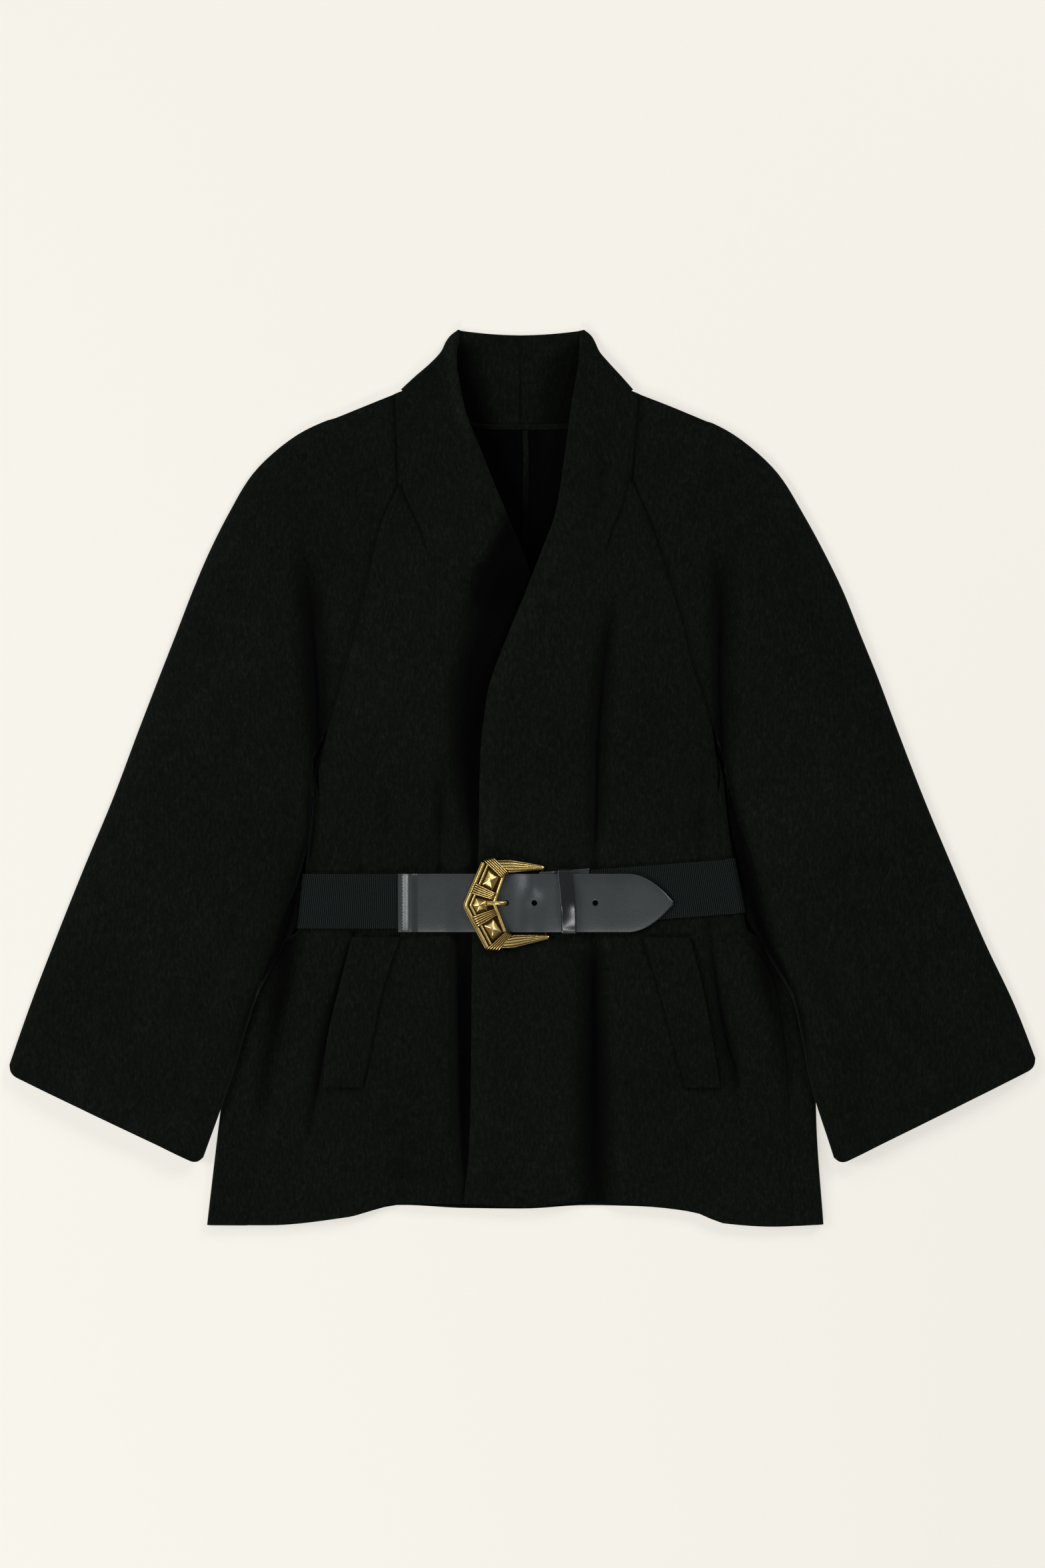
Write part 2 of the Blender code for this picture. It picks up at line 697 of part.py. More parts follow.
def belt_elastic(trees, finish):
    offsets = np.linspace(-0.5, 0.5, 4) * ELASTIC_WIDTH
    lines = elastic_front("left", LEFT_ELASTIC_END_X, left_middle, trees)
    left_turns = [belt_turn("left", left_middle(SIDE_X) + offset) for offset in offsets]
    lines += [list(step) for step in zip(*left_turns)]
    right_turns = [belt_turn("right", right_middle(SIDE_X) + offset) for offset in offsets]
    ground_left = [turn[-1] for turn in left_turns]
    ground_right = [turn[-1] for turn in right_turns]
    for t in (0.25, 0.5, 0.75):
        pairs = zip(ground_left, ground_right)
        lines.append([tuple(np.array(a) * (1 - t) + np.array(b) * t) for a, b in pairs])
    lines += [list(step) for step in zip(*[turn[::-1] for turn in right_turns])]
    lines += elastic_front("right", RIGHT_ELASTIC_END_X, right_middle, trees)[::-1]
    return cloth("belt_elastic", (lines,), finish, wall=ELASTIC_WALL, upright=False)


def belt_chape(trees, finish):
    lines = []
    for x in np.linspace(CHAPE_START_X, CHAPE_END_X, 4):
        middle = right_middle(x)
        low_y, high_y = middle - LEATHER_WIDTH / 2, middle + LEATHER_WIDTH / 2
        height = highest_near(x, low_y, high_y, trees) + REST_GAP + LEATHER_WALL / 2
        lines.append([(x, y, height) for y in np.linspace(low_y, high_y, 3)])
    return cloth("belt_chape", (lines,), finish, wall=LEATHER_WALL, upright=False)


def strap_width(x):
    """Half width of the strap, which ends in a blunt point."""
    past = max(0.0, (x - STRAP_TAPER_X) / (STRAP_TIP_X - STRAP_TAPER_X))
    return LEATHER_WIDTH / 2 * (1 - STRAP_POINT_SHARE * past ** STRAP_POINT_POWER)


def strap_heights(trees, bar_top):
    """Middle height of the strap along its length, clear of all that it lies on."""
    xs = np.concatenate((np.linspace(STRAP_START_X, STRAP_TAPER_X, 25),
                         np.linspace(STRAP_TAPER_X, STRAP_TIP_X, 6)[1:]))
    heights = []
    for x in xs:
        half = strap_width(x)
        support = highest_near(x, STRAP_Y - half, STRAP_Y + half, trees)
        if abs(x - (BAR_TOP[0] + BAR_BOTTOM[0]) / 2) < BAR_REACH:
            support = max(support, bar_top)
        heights.append(support + REST_GAP + LEATHER_WALL / 2)
    return xs, np.array(heights)


def belt_strap(xs, heights, finish):
    lines = []
    for x, height in zip(xs, heights):
        half = strap_width(x)
        lines.append([(x, STRAP_Y + half * t, height) for t in STRAP_SHARES])
    strap = cloth("belt_strap", (lines,), finish, wall=LEATHER_WALL, upright=False)
    for number, x in enumerate(HOLE_X):
        cut = bpy.data.meshes.new("hole")
        shape = bmesh.new()
        radius = HOLE_RADIUS * MM
        bmesh.ops.create_cone(shape, cap_ends=True, segments=HOLE_SIDES, radius1=radius, radius2=radius,
                              depth=8 * radius, matrix=Matrix.Rotation(HOLE_TURN, 4, "Z"))
        place = (x * MM, STRAP_Y * MM, np.interp(x, xs, heights) * MM)
        bmesh.ops.translate(shape, verts=shape.verts, vec=place)
        shape.to_mesh(cut)
        shape.free()
        cutter = bpy.data.objects.new("hole_cutter_%d" % number, cut)
        bpy.context.scene.collection.objects.link(cutter)
        cutter.hide_render = True
        cutter.display_type = "WIRE"
        punch = strap.modifiers.new("hole_%d" % number, "BOOLEAN")
        punch.operation = "DIFFERENCE"
        punch.object = cutter
    return strap


def belt_keeper(top, finish):
    """Leather loop over the strap: a bridge with two legs that end on the chape."""
    low = top["chape"] + REST_GAP
    high = top["strap"] + REST_GAP
    upper, lower = KEEPER_Y
    wall = KEEPER_WALL
    profile = [(upper, low), (upper, high + wall), (lower, high + wall), (lower, low),
               (lower + wall, low), (lower + wall, high), (upper - wall, high), (upper - wall, low)]
    shape = bmesh.new()
    rings = [[shape.verts.new((x * MM, y * MM, z * MM)) for y, z in profile] for x in KEEPER_X]
    count = len(profile)
    for i in range(count):
        j = (i + 1) % count
        shape.faces.new((rings[0][i], rings[0][j], rings[1][j], rings[1][i]))
    for ring in rings:
        shape.faces.new(ring)
    bmesh.ops.recalc_face_normals(shape, faces=shape.faces)
    made = bpy.data.meshes.new("belt_keeper")
    shape.to_mesh(made)
    shape.free()
    return add_object("belt_keeper", made, finish)


def rod(shape, start, end, radius, sides=8):
    """Round bar between two points, added to a mesh that is being built."""
    start = Vector(start) * MM
    end = Vector(end) * MM
    along = end - start
    turn = along.to_track_quat("Z", "Y").to_matrix().to_4x4()
    turn.translation = (start + end) / 2
    bmesh.ops.create_cone(shape, cap_ends=True, segments=sides, radius1=radius * MM,
                          radius2=radius * MM, depth=along.length, matrix=turn)


def union_part(target, name, shape):
    made = bpy.data.meshes.new(name)
    shape.to_mesh(made)
    shape.free()
    piece = bpy.data.objects.new(name, made)
    bpy.context.scene.collection.objects.link(piece)
    piece.hide_render = True
    piece.display_type = "WIRE"
    join = target.modifiers.new(name, "BOOLEAN")
    join.operation = "UNION"
    join.object = piece


def buckle(strap_top, hole_z, bar_z, finish):
    """Open C frame with studs, a fixed prong into the strap and a bar under it."""
    low = strap_top + REST_GAP
    shape = bmesh.new()
    rings = []
    rows = len(BUCKLE["out_x"])
    for i in range(rows):
        outer = np.array((BUCKLE["out_x"][i], BUCKLE["out_y"][i]))
        inner = np.array((BUCKLE["in_x"][i], BUCKLE["in_y"][i]))
        base = low - BUCKLE["drop"][i]
        ring = []
        for across, rise in BUCKLE_PROFILE:
            x, y = outer + (inner - outer) * across
            ring.append(shape.verts.new((x * MM, y * MM, (base + rise * BUCKLE["height"][i]) * MM)))
        rings.append(ring)
    count = len(BUCKLE_PROFILE)
    for a, b in zip(rings, rings[1:]):
        for i in range(count):
            j = (i + 1) % count
            shape.faces.new((a[i], a[j], b[j], b[i]))
    shape.faces.new(rings[0])
    shape.faces.new(rings[-1])
    bmesh.ops.recalc_face_normals(shape, faces=shape.faces)
    made = bpy.data.meshes.new("belt_buckle")
    shape.to_mesh(made)
    shape.free()
    frame = add_object("belt_buckle", made, finish)
    part = bmesh.new()
    rod(part, (*BAR_TOP, bar_z), (*BAR_BOTTOM, bar_z), BAR_RADIUS)
    union_part(frame, "buckle_bar", part)
    part = bmesh.new()
    root = (PRONG_ROOT_X, STRAP_Y, low + PRONG_ROOT_RISE)
    rod(part, root, (PRONG_TIP_X + PRONG_OVERRUN, STRAP_Y, low + PRONG_TIP_RISE), PRONG_RADIUS)
    union_part(frame, "buckle_prong", part)
    part = bmesh.new()
    bend = (PRONG_TIP_X, STRAP_Y, low + PRONG_BEND_RISE)
    rod(part, bend, (PRONG_TIP_X, STRAP_Y, hole_z), PRONG_RADIUS)
    union_part(frame, "buckle_prong_tip", part)
    for i in range(len(STUDS["x"])):
        part = bmesh.new()
        size = STUDS["half"][i] * math.sqrt(2)
        bmesh.ops.create_cone(part, cap_ends=True, segments=4, radius1=size * MM,
                              radius2=size * STUD_TOP_SHARE * MM, depth=(STUD_RISE + STUD_ROOT) * MM)
        turn = Matrix.Rotation(math.radians(STUDS["turn"][i] + 45), 3, "Z")
        bmesh.ops.rotate(part, verts=part.verts, cent=(0, 0, 0), matrix=turn)
        stud_z = low + FRAME_TOP + (STUD_RISE - STUD_ROOT) / 2
        place = (STUDS["x"][i] * MM, STUDS["y"][i] * MM, stud_z * MM)
        bmesh.ops.translate(part, verts=part.verts, vec=place)
        union_part(frame, "buckle_stud_%d" % i, part)
    return frame


def main():
    for item in list(bpy.data.objects):
        bpy.data.objects.remove(item, do_unlink=True)
    wool = [material("black wool %d" % n, (0.007, 0.008, 0.008), 0.95, 0.0) for n in range(11)]
    elastic = material("ribbed elastic", (0.012, 0.016, 0.015), 0.8, 0.0)
    leather = [material("slate leather %d" % n, (0.035, 0.04, 0.046), 0.42, 0.0) for n in range(3)]
    gold = material("antique gold", (0.62, 0.43, 0.16), 0.32, 1.0)
    fronts = []
    backs = []
    for n, side in enumerate(("left", "right")):
        backs.append(back_panel(side, wool[n]))
        fronts.append(front_panel(side, wool[2 + n]))
        sleeve_back(side, wool[4 + n])
        sleeve_front(side, wool[6 + n])
    body = tree_of(*fronts, *backs)
    for n, name in enumerate(WELTS):
        pocket_welt(name, body, wool[8 + n])
    neck_tape(wool[10])
    belt = belt_elastic(body, elastic)
    chape = belt_chape(body, leather[0])
    under = tree_of(*fronts, *backs, belt, chape)
    shares = np.linspace(-BAR_MARGIN, 1 + BAR_MARGIN, 9)
    bar_xs = BAR_TOP[0] + (BAR_BOTTOM[0] - BAR_TOP[0]) * shares
    bar_ys = BAR_TOP[1] + (BAR_BOTTOM[1] - BAR_TOP[1]) * shares
    bar_z = max(top_under(x, y, body) for x, y in zip(bar_xs, bar_ys)) + REST_GAP + BAR_RADIUS
    xs, heights = strap_heights(under, bar_z + BAR_RADIUS)
    belt_strap(xs, heights, leather[1])
    keeper_spot = (xs > KEEPER_X[0] - KEEPER_REACH) & (xs < KEEPER_X[1] + KEEPER_REACH)
    tops = {"strap": heights[keeper_spot].max() + LEATHER_WALL / 2,
            "chape": max(top_under(x, y, tree_of(chape)) for x in KEEPER_X for y in KEEPER_FOOT_Y)}
    belt_keeper(tops, leather[2])
    under_buckle = (xs > BUCKLE_SPAN_X[0]) & (xs < BUCKLE_SPAN_X[1])
    strap_top = heights[under_buckle].max() + LEATHER_WALL / 2
    buckle(strap_top, np.interp(PRONG_TIP_X, xs, heights), bar_z, gold)


main()
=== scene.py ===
import math

import bmesh
import bpy
import numpy as np
from mathutils import Matrix, Vector
from mathutils.bvhtree import BVHTree


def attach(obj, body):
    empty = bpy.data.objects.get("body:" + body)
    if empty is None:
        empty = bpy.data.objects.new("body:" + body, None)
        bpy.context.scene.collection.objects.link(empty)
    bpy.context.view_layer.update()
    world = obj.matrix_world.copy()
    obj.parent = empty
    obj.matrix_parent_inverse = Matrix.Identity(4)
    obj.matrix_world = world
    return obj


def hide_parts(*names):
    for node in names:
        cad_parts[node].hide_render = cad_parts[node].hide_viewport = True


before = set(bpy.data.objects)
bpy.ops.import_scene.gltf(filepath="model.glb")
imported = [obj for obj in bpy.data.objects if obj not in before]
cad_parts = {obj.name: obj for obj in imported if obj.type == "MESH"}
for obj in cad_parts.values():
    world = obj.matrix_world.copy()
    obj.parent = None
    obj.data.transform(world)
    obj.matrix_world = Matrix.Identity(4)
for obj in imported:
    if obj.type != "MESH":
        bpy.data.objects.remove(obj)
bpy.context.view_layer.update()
mm = 0.001
print("frame loaded:", len(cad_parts), "nodes")

# Lengths are millimetres here, as a cutter would note them; meshes are made in metres.
# Left and right are the sides as seen from above, collar at the top.

cloth = {
    "wall": 2.0,
    "seamHalf": -0.1,      # sewn edges just cross
    "restGap": 0.3,
    "centreX": -2.0,
    "seamRoll": 1.5,       # how far an edge sinks into its seam
    "seamRollWidth": 2.0,
    "waviness": 0.2,       # uneven lie of the heavy wool
    "waves": (34, 47, 61, 83, 120),
    "flatNormal": 0.6,     # an edge that faces up more than this gets an upright side
    "sharpAngle": 55,
}
groundMid = cloth["wall"] / 2


def table(names, *rows):
    return dict(zip(names.split(), np.array(rows, float).T))


def flow(xs, ys, x):
    # smooth curve through the rows that never overshoots them
    x = np.asarray(x, float)
    step = np.diff(xs)
    slope = np.diff(ys) / step
    product = slope[:-1] * slope[1:]
    total = np.where(product > 0, slope[:-1] + slope[1:], 1.0)
    inner = np.where(product > 0, 2 * product / total, 0.0)
    tangent = np.concatenate(([slope[0]], inner, [slope[-1]]))
    i = np.clip(np.searchsorted(xs, x) - 1, 0, len(step) - 1)
    t = np.clip((x - xs[i]) / step[i], 0, 1)
    start = ys[i] * (1 + 2 * t) * (1 - t) ** 2 + tangent[i] * step[i] * t * (1 - t) ** 2
    end = ys[i + 1] * t * t * (3 - 2 * t) + tangent[i + 1] * step[i] * t * t * (t - 1)
    return start + end


def at(rows, name, value, key="y"):
    return flow(rows[key], rows[name], value)


def ramp(value, start, end):
    t = np.clip((np.asarray(value, float) - start) / (end - start), 0, 1)
    return t * t * (3 - 2 * t)


def within(value, rise, fall):
    return ramp(value, *rise) * (1 - ramp(value, *fall))


def bell(away, half):
    return np.exp(-(away / half) ** 2)


def between(start, end, share):
    return start + (end - start) * share


def unevenness(x, y, seed=7):
    # low, slow waves with fixed phases
    draw = np.random.default_rng(seed)
    total = 0.0
    for wave in cloth["waves"]:
        turn = draw.uniform(0, math.pi)
        phase = draw.uniform(0, 2 * math.pi)
        along = x * math.cos(turn) + y * math.sin(turn)
        total = total + np.sin(along * 2 * math.pi / wave + phase)
    return total * cloth["waviness"]


def inwardOf(side):
    return 1 if side == "left" else -1


def cap(word):
    return word[0].upper() + word[1:]


def linked(name, data):
    made = bpy.data.objects.new(name, data)
    bpy.context.scene.collection.objects.link(made)
    return made


# the cut, section by section
body = table(
    "y foldLeft seamLeft foldRight seamRight",
    (-386, -271, -237, 258.5, 234),
    (-300, -261, -221, 252.5, 231),
    (-245, -254, -211, 251, 227),
    (-205, -247, -204, 246, 222),
    (-175, -235, -198, 237, 216),
    (-152, -217, -191, 220, 204),
    (-140, -204, -187, 206, 194),
    (-131, -192, -182.5, 192.6, 184),
    (-107, -189, -180, 187.8, 179),
    (-66, -184.5, -177, 179.7, 172.5),
    (-30, -180.5, -175.5, 175, 169),
    (8, -179, -175.5, 171.5, 168),
)
heights = table(
    "y outer half centre underDrop",
    (-386, 8, 9, 10, 4.5),
    (-330, 8.5, 13, 15, 9.5),
    (-250, 9, 16, 18, 12.5),
    (-180, 9, 15.5, 17.5, 12.5),
    (-138, 9.1, 12, 13.5, 8),
    (-107, 9.1, 12, 13.5, 3.6),
    (-66, 9.1, 12, 13.5, 8),
    (-30, 8, 16, 17.5, 12),
    (8, 6.5, 18, 20, 14),
    (60, 9.5, 20, 22, 14),
    (134, 11, 21, 23, 12),
    (175, 11.5, 21, 22.5, 8),
    (215, 12, 20.5, 22, 0),
    (253, 13, 20, 21, 0),
    (290, 11, 18.5, 19.5, 0),
    (331, 6, 14, 15, 0),
    (345, 8.5, 12.5, 13, 0),
    (372, 6.2, 8.6, 9, 0),
    (381, 4.8, 5.8, 5.8, 0),
    (386, 3.7, 4, 4, 0),
)
# the covered front drops away this far from the covering edge, and how softly
underGap = table(
    "y reach soft",
    (-386, 1, 3),
    (-362, 3, 3.5),
    (-330, 8, 4.5),
    (-269, 14, 5),
    (-132, 17, 5),
    (-66, 9, 6),
    (-30, 15, 9),
    (8, 21, 11),
    (60, 28, 13),
    (134, 38, 16),
    (188, 42, 18),
    (230, 42, 18),
)
edges = table(
    "y left right",
    (-386, 30, -51),
    (-337, 30, -47),
    (-269, 30, -44.6),
    (-132, 30, -43.4),
    (-69, 30, -38.2),
    (17, 30, -36.5),
    (73, 28, -30.2),
    (123, 22, -12.9),
    (155, 14, 0.3),
    (193, 1, 15.2),
    (231, -14.7, 28.8),
    (277, -33.6, 36),
    (324, -50.9, 42.3),
    (363, -56.5, 48.5),
    (384, -54, 49.5),
)
hem = table(
    "x front back",
    (-271, -385, -385),
    (-220, -385, -385.2),
    (-151, -378, -378.2),
    (-105, -366.2, -367.8),
    (-50, -366.5, -370.5),
    (0, -369.5, -371),
    (55, -365, -368),
    (101, -367.4, -369),
    (147, -372.6, -374),
    (175, -383.5, -384),
    (216, -386.2, -386.2),
    (258, -384.5, -384.5),
)
collarFold = table(
    "y left right",
    (332, -106.8, 96.9),
    (345, -92.8, 85.4),
    (358.5, -77.4, 73.0),
    (368, -69.0, 65.2),
    (376, -65.2, 61.6),
    (381, -61.5, 58.6),
    (386, -55.0, 52.5),
)
sleeves = {
    "left": table(
        "inX inY outX outY backX backY crown lift flange",
        (-107.5, 252, -110.5, 331, -72, 318, 0, 0, 0),
        (-121, 223, -150.4, 314.8, -86, 284, 3, 0, 0),
        (-130, 192, -190, 297.6, -101, 245, 7, 0, 0),
        (-136, 162, -230.9, 263.1, -115, 205, 10, 0, 0),
        (-143.5, 134, -252.1, 228.6, -128, 165, 12, 0, 0),
        (-153, 99, -270, 193, -142, 124, 13, 0, 0),
        (-160, 73, -284, 160, -153, 88, 14, 0, 0),
        (-168, 44, -297.5, 125, -165, 52, 15, 0, 0),
        (-181.5, 10, -312, 88, -181.5, 10, 15, 0, 0),
        (-182.3, -40, -331, 38.8, -182.3, -40, 15, 0, 1),
        (-192.5, -85, -352, -17, -192.5, -85, 15, 3, 1),
        (-207, -137, -377, -77, -207, -137, 14, 11, 6),
        (-231, -190, -403, -142, -231, -190, 14, 11, 0),
        (-250, -253, -424, -197, -250, -253, 13, 11.5, 0),
        (-278.4, -333, -444, -254, -278.4, -333, 13, 6, 0),
    ),
    "right": table(
        "inX inY outX outY backX backY crown lift flange",
        (94, 258, 100.8, 331, 66, 318, 0, 0, 0),
        (110.7, 220.5, 141.7, 314.8, 79, 284, 3, 0, 0),
        (121, 192, 178.5, 297.6, 93, 245, 7, 0, 0),
        (131.4, 160, 218.8, 263.1, 107, 205, 10, 0, 0),
        (141, 128.5, 240.6, 228.6, 120, 165, 12, 0, 0),
        (147.5, 99, 260, 193, 134, 124, 13, 0, 0),
        (155.5, 76, 276, 160, 146, 88, 14, 0, 0),
        (163.5, 46, 290, 125, 158, 52, 15, 0, 0),
        (174.5, 10, 305, 88, 174.5, 10, 15, 0, 0),
        (179.5, -36, 323.4, 38.8, 179.5, -36, 15, 0, 6),
        (191, -88, 345, -17, 191, -88, 15, 3, 12.5),
        (210.5, -140, 370, -77, 210.5, -140, 14, 11, 9),
        (235, -192, 398, -142, 235, -192, 14, 11, 0),
        (249, -262, 424, -197, 249, -262, 13, 11.5, 0),
        (272, -333.3, 444, -248.2, 272, -333.3, 13, 6, 0),
    ),
}
underarmRow = 8
cuffRow = 14
underarmY = 8.0
hemBase = -386.0
hemFade = -310.0
backNeckY = 303.0


def underDrop(x, y):
    reach = at(underGap, "reach", y)
    soft = at(underGap, "soft", y)
    edge = at(edges, "right", y)
    return at(heights, "underDrop", y) * ramp(x, edge - reach - soft, edge - reach + soft)


def fold(*rows):
    return table("y x width depth", *rows)


folds = {
    "frontLeft": (
        fold((-64, -71, 11, 0), (-30, -71, 12, 4), (45, -66, 14, 0)),
        fold((-64, -120, 12, 0), (-30, -118, 13, 3), (25, -112, 14, 0)),
        fold((-326, -187, 12, 0), (-230, -172, 13, 5), (-140, -152, 12, 1)),
        fold((-386, -105, 22, 2), (-290, -100, 18, 3), (-150, -92, 14, 0)),
        # sharper creases inside them
        fold((-84, -139, 3.2, 4), (-62, -139, 3.2, 4), (-38, -139.5, 4, 0)),
        fold((-84, -116, 5, 2), (-50, -116, 5, 2), (23, -113, 6, 0)),
        fold((-84, -71, 3.8, 5), (-50, -71, 4.2, 4.5), (-10, -70, 5, 2), (40, -66, 6, 0)),
        fold((-335, -189, 5, 0), (-269, -177, 4.6, 5), (-201, -164, 4.4, 6), (-178, -157, 4.4, 6),
             (-128, -144, 4, 4)),
        fold((-386, -118, 14, 1.5), (-340, -112, 11, 1.5), (-280, -104, 10, 0)),
        # short end of the shaped collar seam
        fold((190, -80, 1.6, 0), (200, -83.5, 1.6, 1.1), (213, -88.3, 1.6, 1.5), (234, -97.5, 1.6, 1.6),
             (254, -106.4, 1.6, 1.6)),
    ),
    "frontRight": (
        fold((-64, 63, 11, 0), (-30, 64, 12, 6), (90, 69, 15, 6), (185, 84, 15, 0)),
        fold((-64, 152, 12, 0), (-35, 153, 13, 3), (25, 155, 14, 0)),
        fold((-386, 61, 22, 4), (-270, 61, 17, 8), (-160, 60, 13, 6), (-140, 60, 12, 0)),
        fold((-290, 187, 12, 0), (-225, 177, 13, 5), (-140, 163, 12, 1)),
        # sharper creases inside them
        fold((-84, 63, 4.6, 5), (-40, 63.5, 5, 6), (9.5, 64, 5.2, 6), (76, 68, 5.6, 5), (137, 76, 6, 3),
             (182, 85, 7, 0)),
        fold((-84, 155, 4.6, 3), (-50, 155, 5, 3), (24, 156, 6, 0)),
        fold((-386, 64, 15, 3.5), (-300, 63, 13, 6.5), (-180, 62, 9, 7), (-128, 62, 7, 4)),
        fold((-300, 190, 5, 0), (-253, 184, 4.6, 5), (-230, 177, 4.4, 6), (-187, 168, 4.4, 6),
             (-123, 161, 4, 4)),
        fold((165, 58, 13, 0), (225, 64, 13, 3), (290, 69, 12, 4), (352, 66, 9, 1)),
        fold((192, 71, 1.6, 0), (203, 74, 1.6, 1), (213, 77.3, 1.6, 1.4), (229, 84.2, 1.6, 1.6),
             (259, 93, 1.6, 1.6)),
    ),
    "sleeveFrontLeft": (
        fold((5, -186, 16, 0), (60, -180, 16, 9), (142, -184, 18, 9), (225, -192, 20, 0)),
        fold((-4, -179.5, 4, 2), (36, -176, 4.6, 6), (89, -177.5, 5, 6), (142, -182, 6, 4),
             (200, -189, 8, 0)),
        fold((-200, -300, 16, 0), (-120, -286, 18, 2.2), (-20, -262, 18, 2.4), (60, -240, 18, 0)),
    ),
    "sleeveFrontRight": (
        fold((5, 178, 16, 0), (60, 174, 16, 9), (142, 173, 18, 9), (225, 172, 20, 0)),
        fold((-4, 174, 4, 2), (54, 170.5, 4.6, 6), (89, 169.5, 5, 6), (142, 170, 6, 4), (205, 168, 8, 0)),
        fold((-210, 310, 16, 0), (-110, 292, 18, 2.2), (-10, 262, 18, 2.4), (70, 236, 18, 0)),
    ),
}


def foldDepth(panel, x, y):
    depth = 0.0
    for line in folds.get(panel, ()):
        inside = (y >= line["y"][0]) & (y <= line["y"][-1])
        trough = bell(x - at(line, "x", y), at(line, "width", y))
        depth = depth + np.where(inside, at(line, "depth", y), 0.0) * trough
    return depth


# how much closer together the points of a row lie at its edges and along sharp creases
spacing = {
    "samples": 500,
    "edgeGain": 2.2,
    "edgeReach": 4,
    "creaseReach": 2.2,
    "creaseRunOut": 8,
    "creaseWidth": 8,
    "creaseMost": 3,
    "sharpBelow": 8.5,     # wider folds need no closer points
}


def spacedShares(panel, start, end, count):
    fine = np.linspace(0, 1, spacing["samples"])
    x, y = between(start[0], end[0], fine), between(start[1], end[1], fine)
    reach = math.hypot(end[0] - start[0], end[1] - start[1])
    density = 1 + spacing["edgeGain"] * bell(fine * reach, spacing["edgeReach"])
    density = density + spacing["edgeGain"] * bell((1 - fine) * reach, spacing["edgeReach"])
    for line in folds.get(panel, ()):
        low, high = line["y"][0], line["y"][-1]
        width = at(line, "width", y)
        runOut = spacing["creaseRunOut"]
        inside = within(y, (low - runOut, low), (high, high + runOut))
        closer = np.clip(spacing["creaseWidth"] / width, 0, spacing["creaseMost"])
        closer = closer * (width < spacing["sharpBelow"])
        density = density + inside * closer * bell(x - at(line, "x", y), spacing["creaseReach"] * width)
    run = np.concatenate(([0], np.cumsum((density[1:] + density[:-1]) / 2)))
    return np.interp(np.linspace(0, 1, count), run / run[-1], fine)


# the back is lifted where the belt passes under it
beltChannel = {"depth": 2.1, "below": (-152, -131), "above": (-62, -44)}


def channel(y):
    return beltChannel["depth"] * within(y, beltChannel["below"], beltChannel["above"])


def foldRadius(y):
    return (at(heights, "outer", y) - groundMid - channel(y)) / 2


def hemShift(name, x, y):
    return (at(hem, name, x, "x") - hemBase) * (1 - ramp(y, hemBase, hemFade))


def sleeveAt(side, name, row):
    return flow(np.arange(cuffRow + 1.0), sleeves[side][name], row)


def seamSink(distance):
    return cloth["seamRoll"] * bell(distance, cloth["seamRollWidth"])


def placeKey(point):
    return tuple(round(value, 3) for value in point)


def clothShell(name, grids, wall=cloth["wall"], upright=True):
    # closed wall round a middle surface; the first grid faces up and grids share edge points
    shape = bmesh.new()
    known = {}
    for grid in grids:
        corners = []
        for line in grid:
            for point in line:
                key = placeKey(point)
                if key not in known:
                    known[key] = shape.verts.new(point)
                corners.append(known[key])
        count = len(grid[0])
        for row in range(len(grid) - 1):
            for column in range(count - 1):
                first = row * count + column
                ring = [corners[first + step] for step in (0, 1, count + 1, count)]
                ring = list(dict.fromkeys(ring))
                if len(ring) > 2:
                    shape.faces.new(ring)
    bmesh.ops.recalc_face_normals(shape, faces=shape.faces)
    shape.faces.ensure_lookup_table()
    if shape.faces[0].normal.z < 0:
        bmesh.ops.reverse_faces(shape, faces=shape.faces)
    shape.normal_update()
    shape.verts.index_update()
    outer, inner = [], []
    for vert in shape.verts:
        normal = vert.normal
        if upright and vert.is_boundary and abs(normal.z) > cloth["flatNormal"]:
            normal = Vector((0, 0, 1 if normal.z >= 0 else -1))
        outer.append((vert.co + normal * wall / 2) * mm)
        inner.append((vert.co - normal * wall / 2) * mm)
    total = len(outer)
    faces = []
    for face in shape.faces:
        ring = [vert.index for vert in face.verts]
        faces.append(ring)
        faces.append([index + total for index in reversed(ring)])
        for loop in face.loops:
            if loop.edge.is_boundary:
                a, b = loop.vert.index, loop.link_loop_next.vert.index
                faces.append([a + total, b + total, b, a])
    shape.free()
    mesh = bpy.data.meshes.new(name)
    mesh.from_pydata(outer + inner, [], faces)
    mesh.shade_smooth()
    mesh.set_sharp_from_angle(angle=math.radians(cloth["sharpAngle"]))
    return linked(name, mesh)


# fronts with the collar grown on
fronts = {
    "columns": 112,
    "bodyRows": 150,
    "raglanStep": 0.16,
    "joinRows": 12,
    "neckRows": 26,
    "calm": 0.12,                    # share beside the outer seam where folds run out
    "beltBelow": (-150, -134),       # the belt holds the cloth flat between these
    "beltAbove": (-66, -52),
    "beltCalm": 0.8,
    "rollY": (190, 300),             # the neck edge is a soft roll, fullest at the top
    "rollShare": {"left": 1.0, "right": 0.4},
    "rollRise": 1.6,
    "rollAway": 6,
    "rollWidth": 4.5,
    "edgeFall": 1.0,
    "edgeFallWidth": 2.0,
}


def raglanRows():
    return np.arange(0, underarmRow - 1 + 0.001, fronts["raglanStep"])


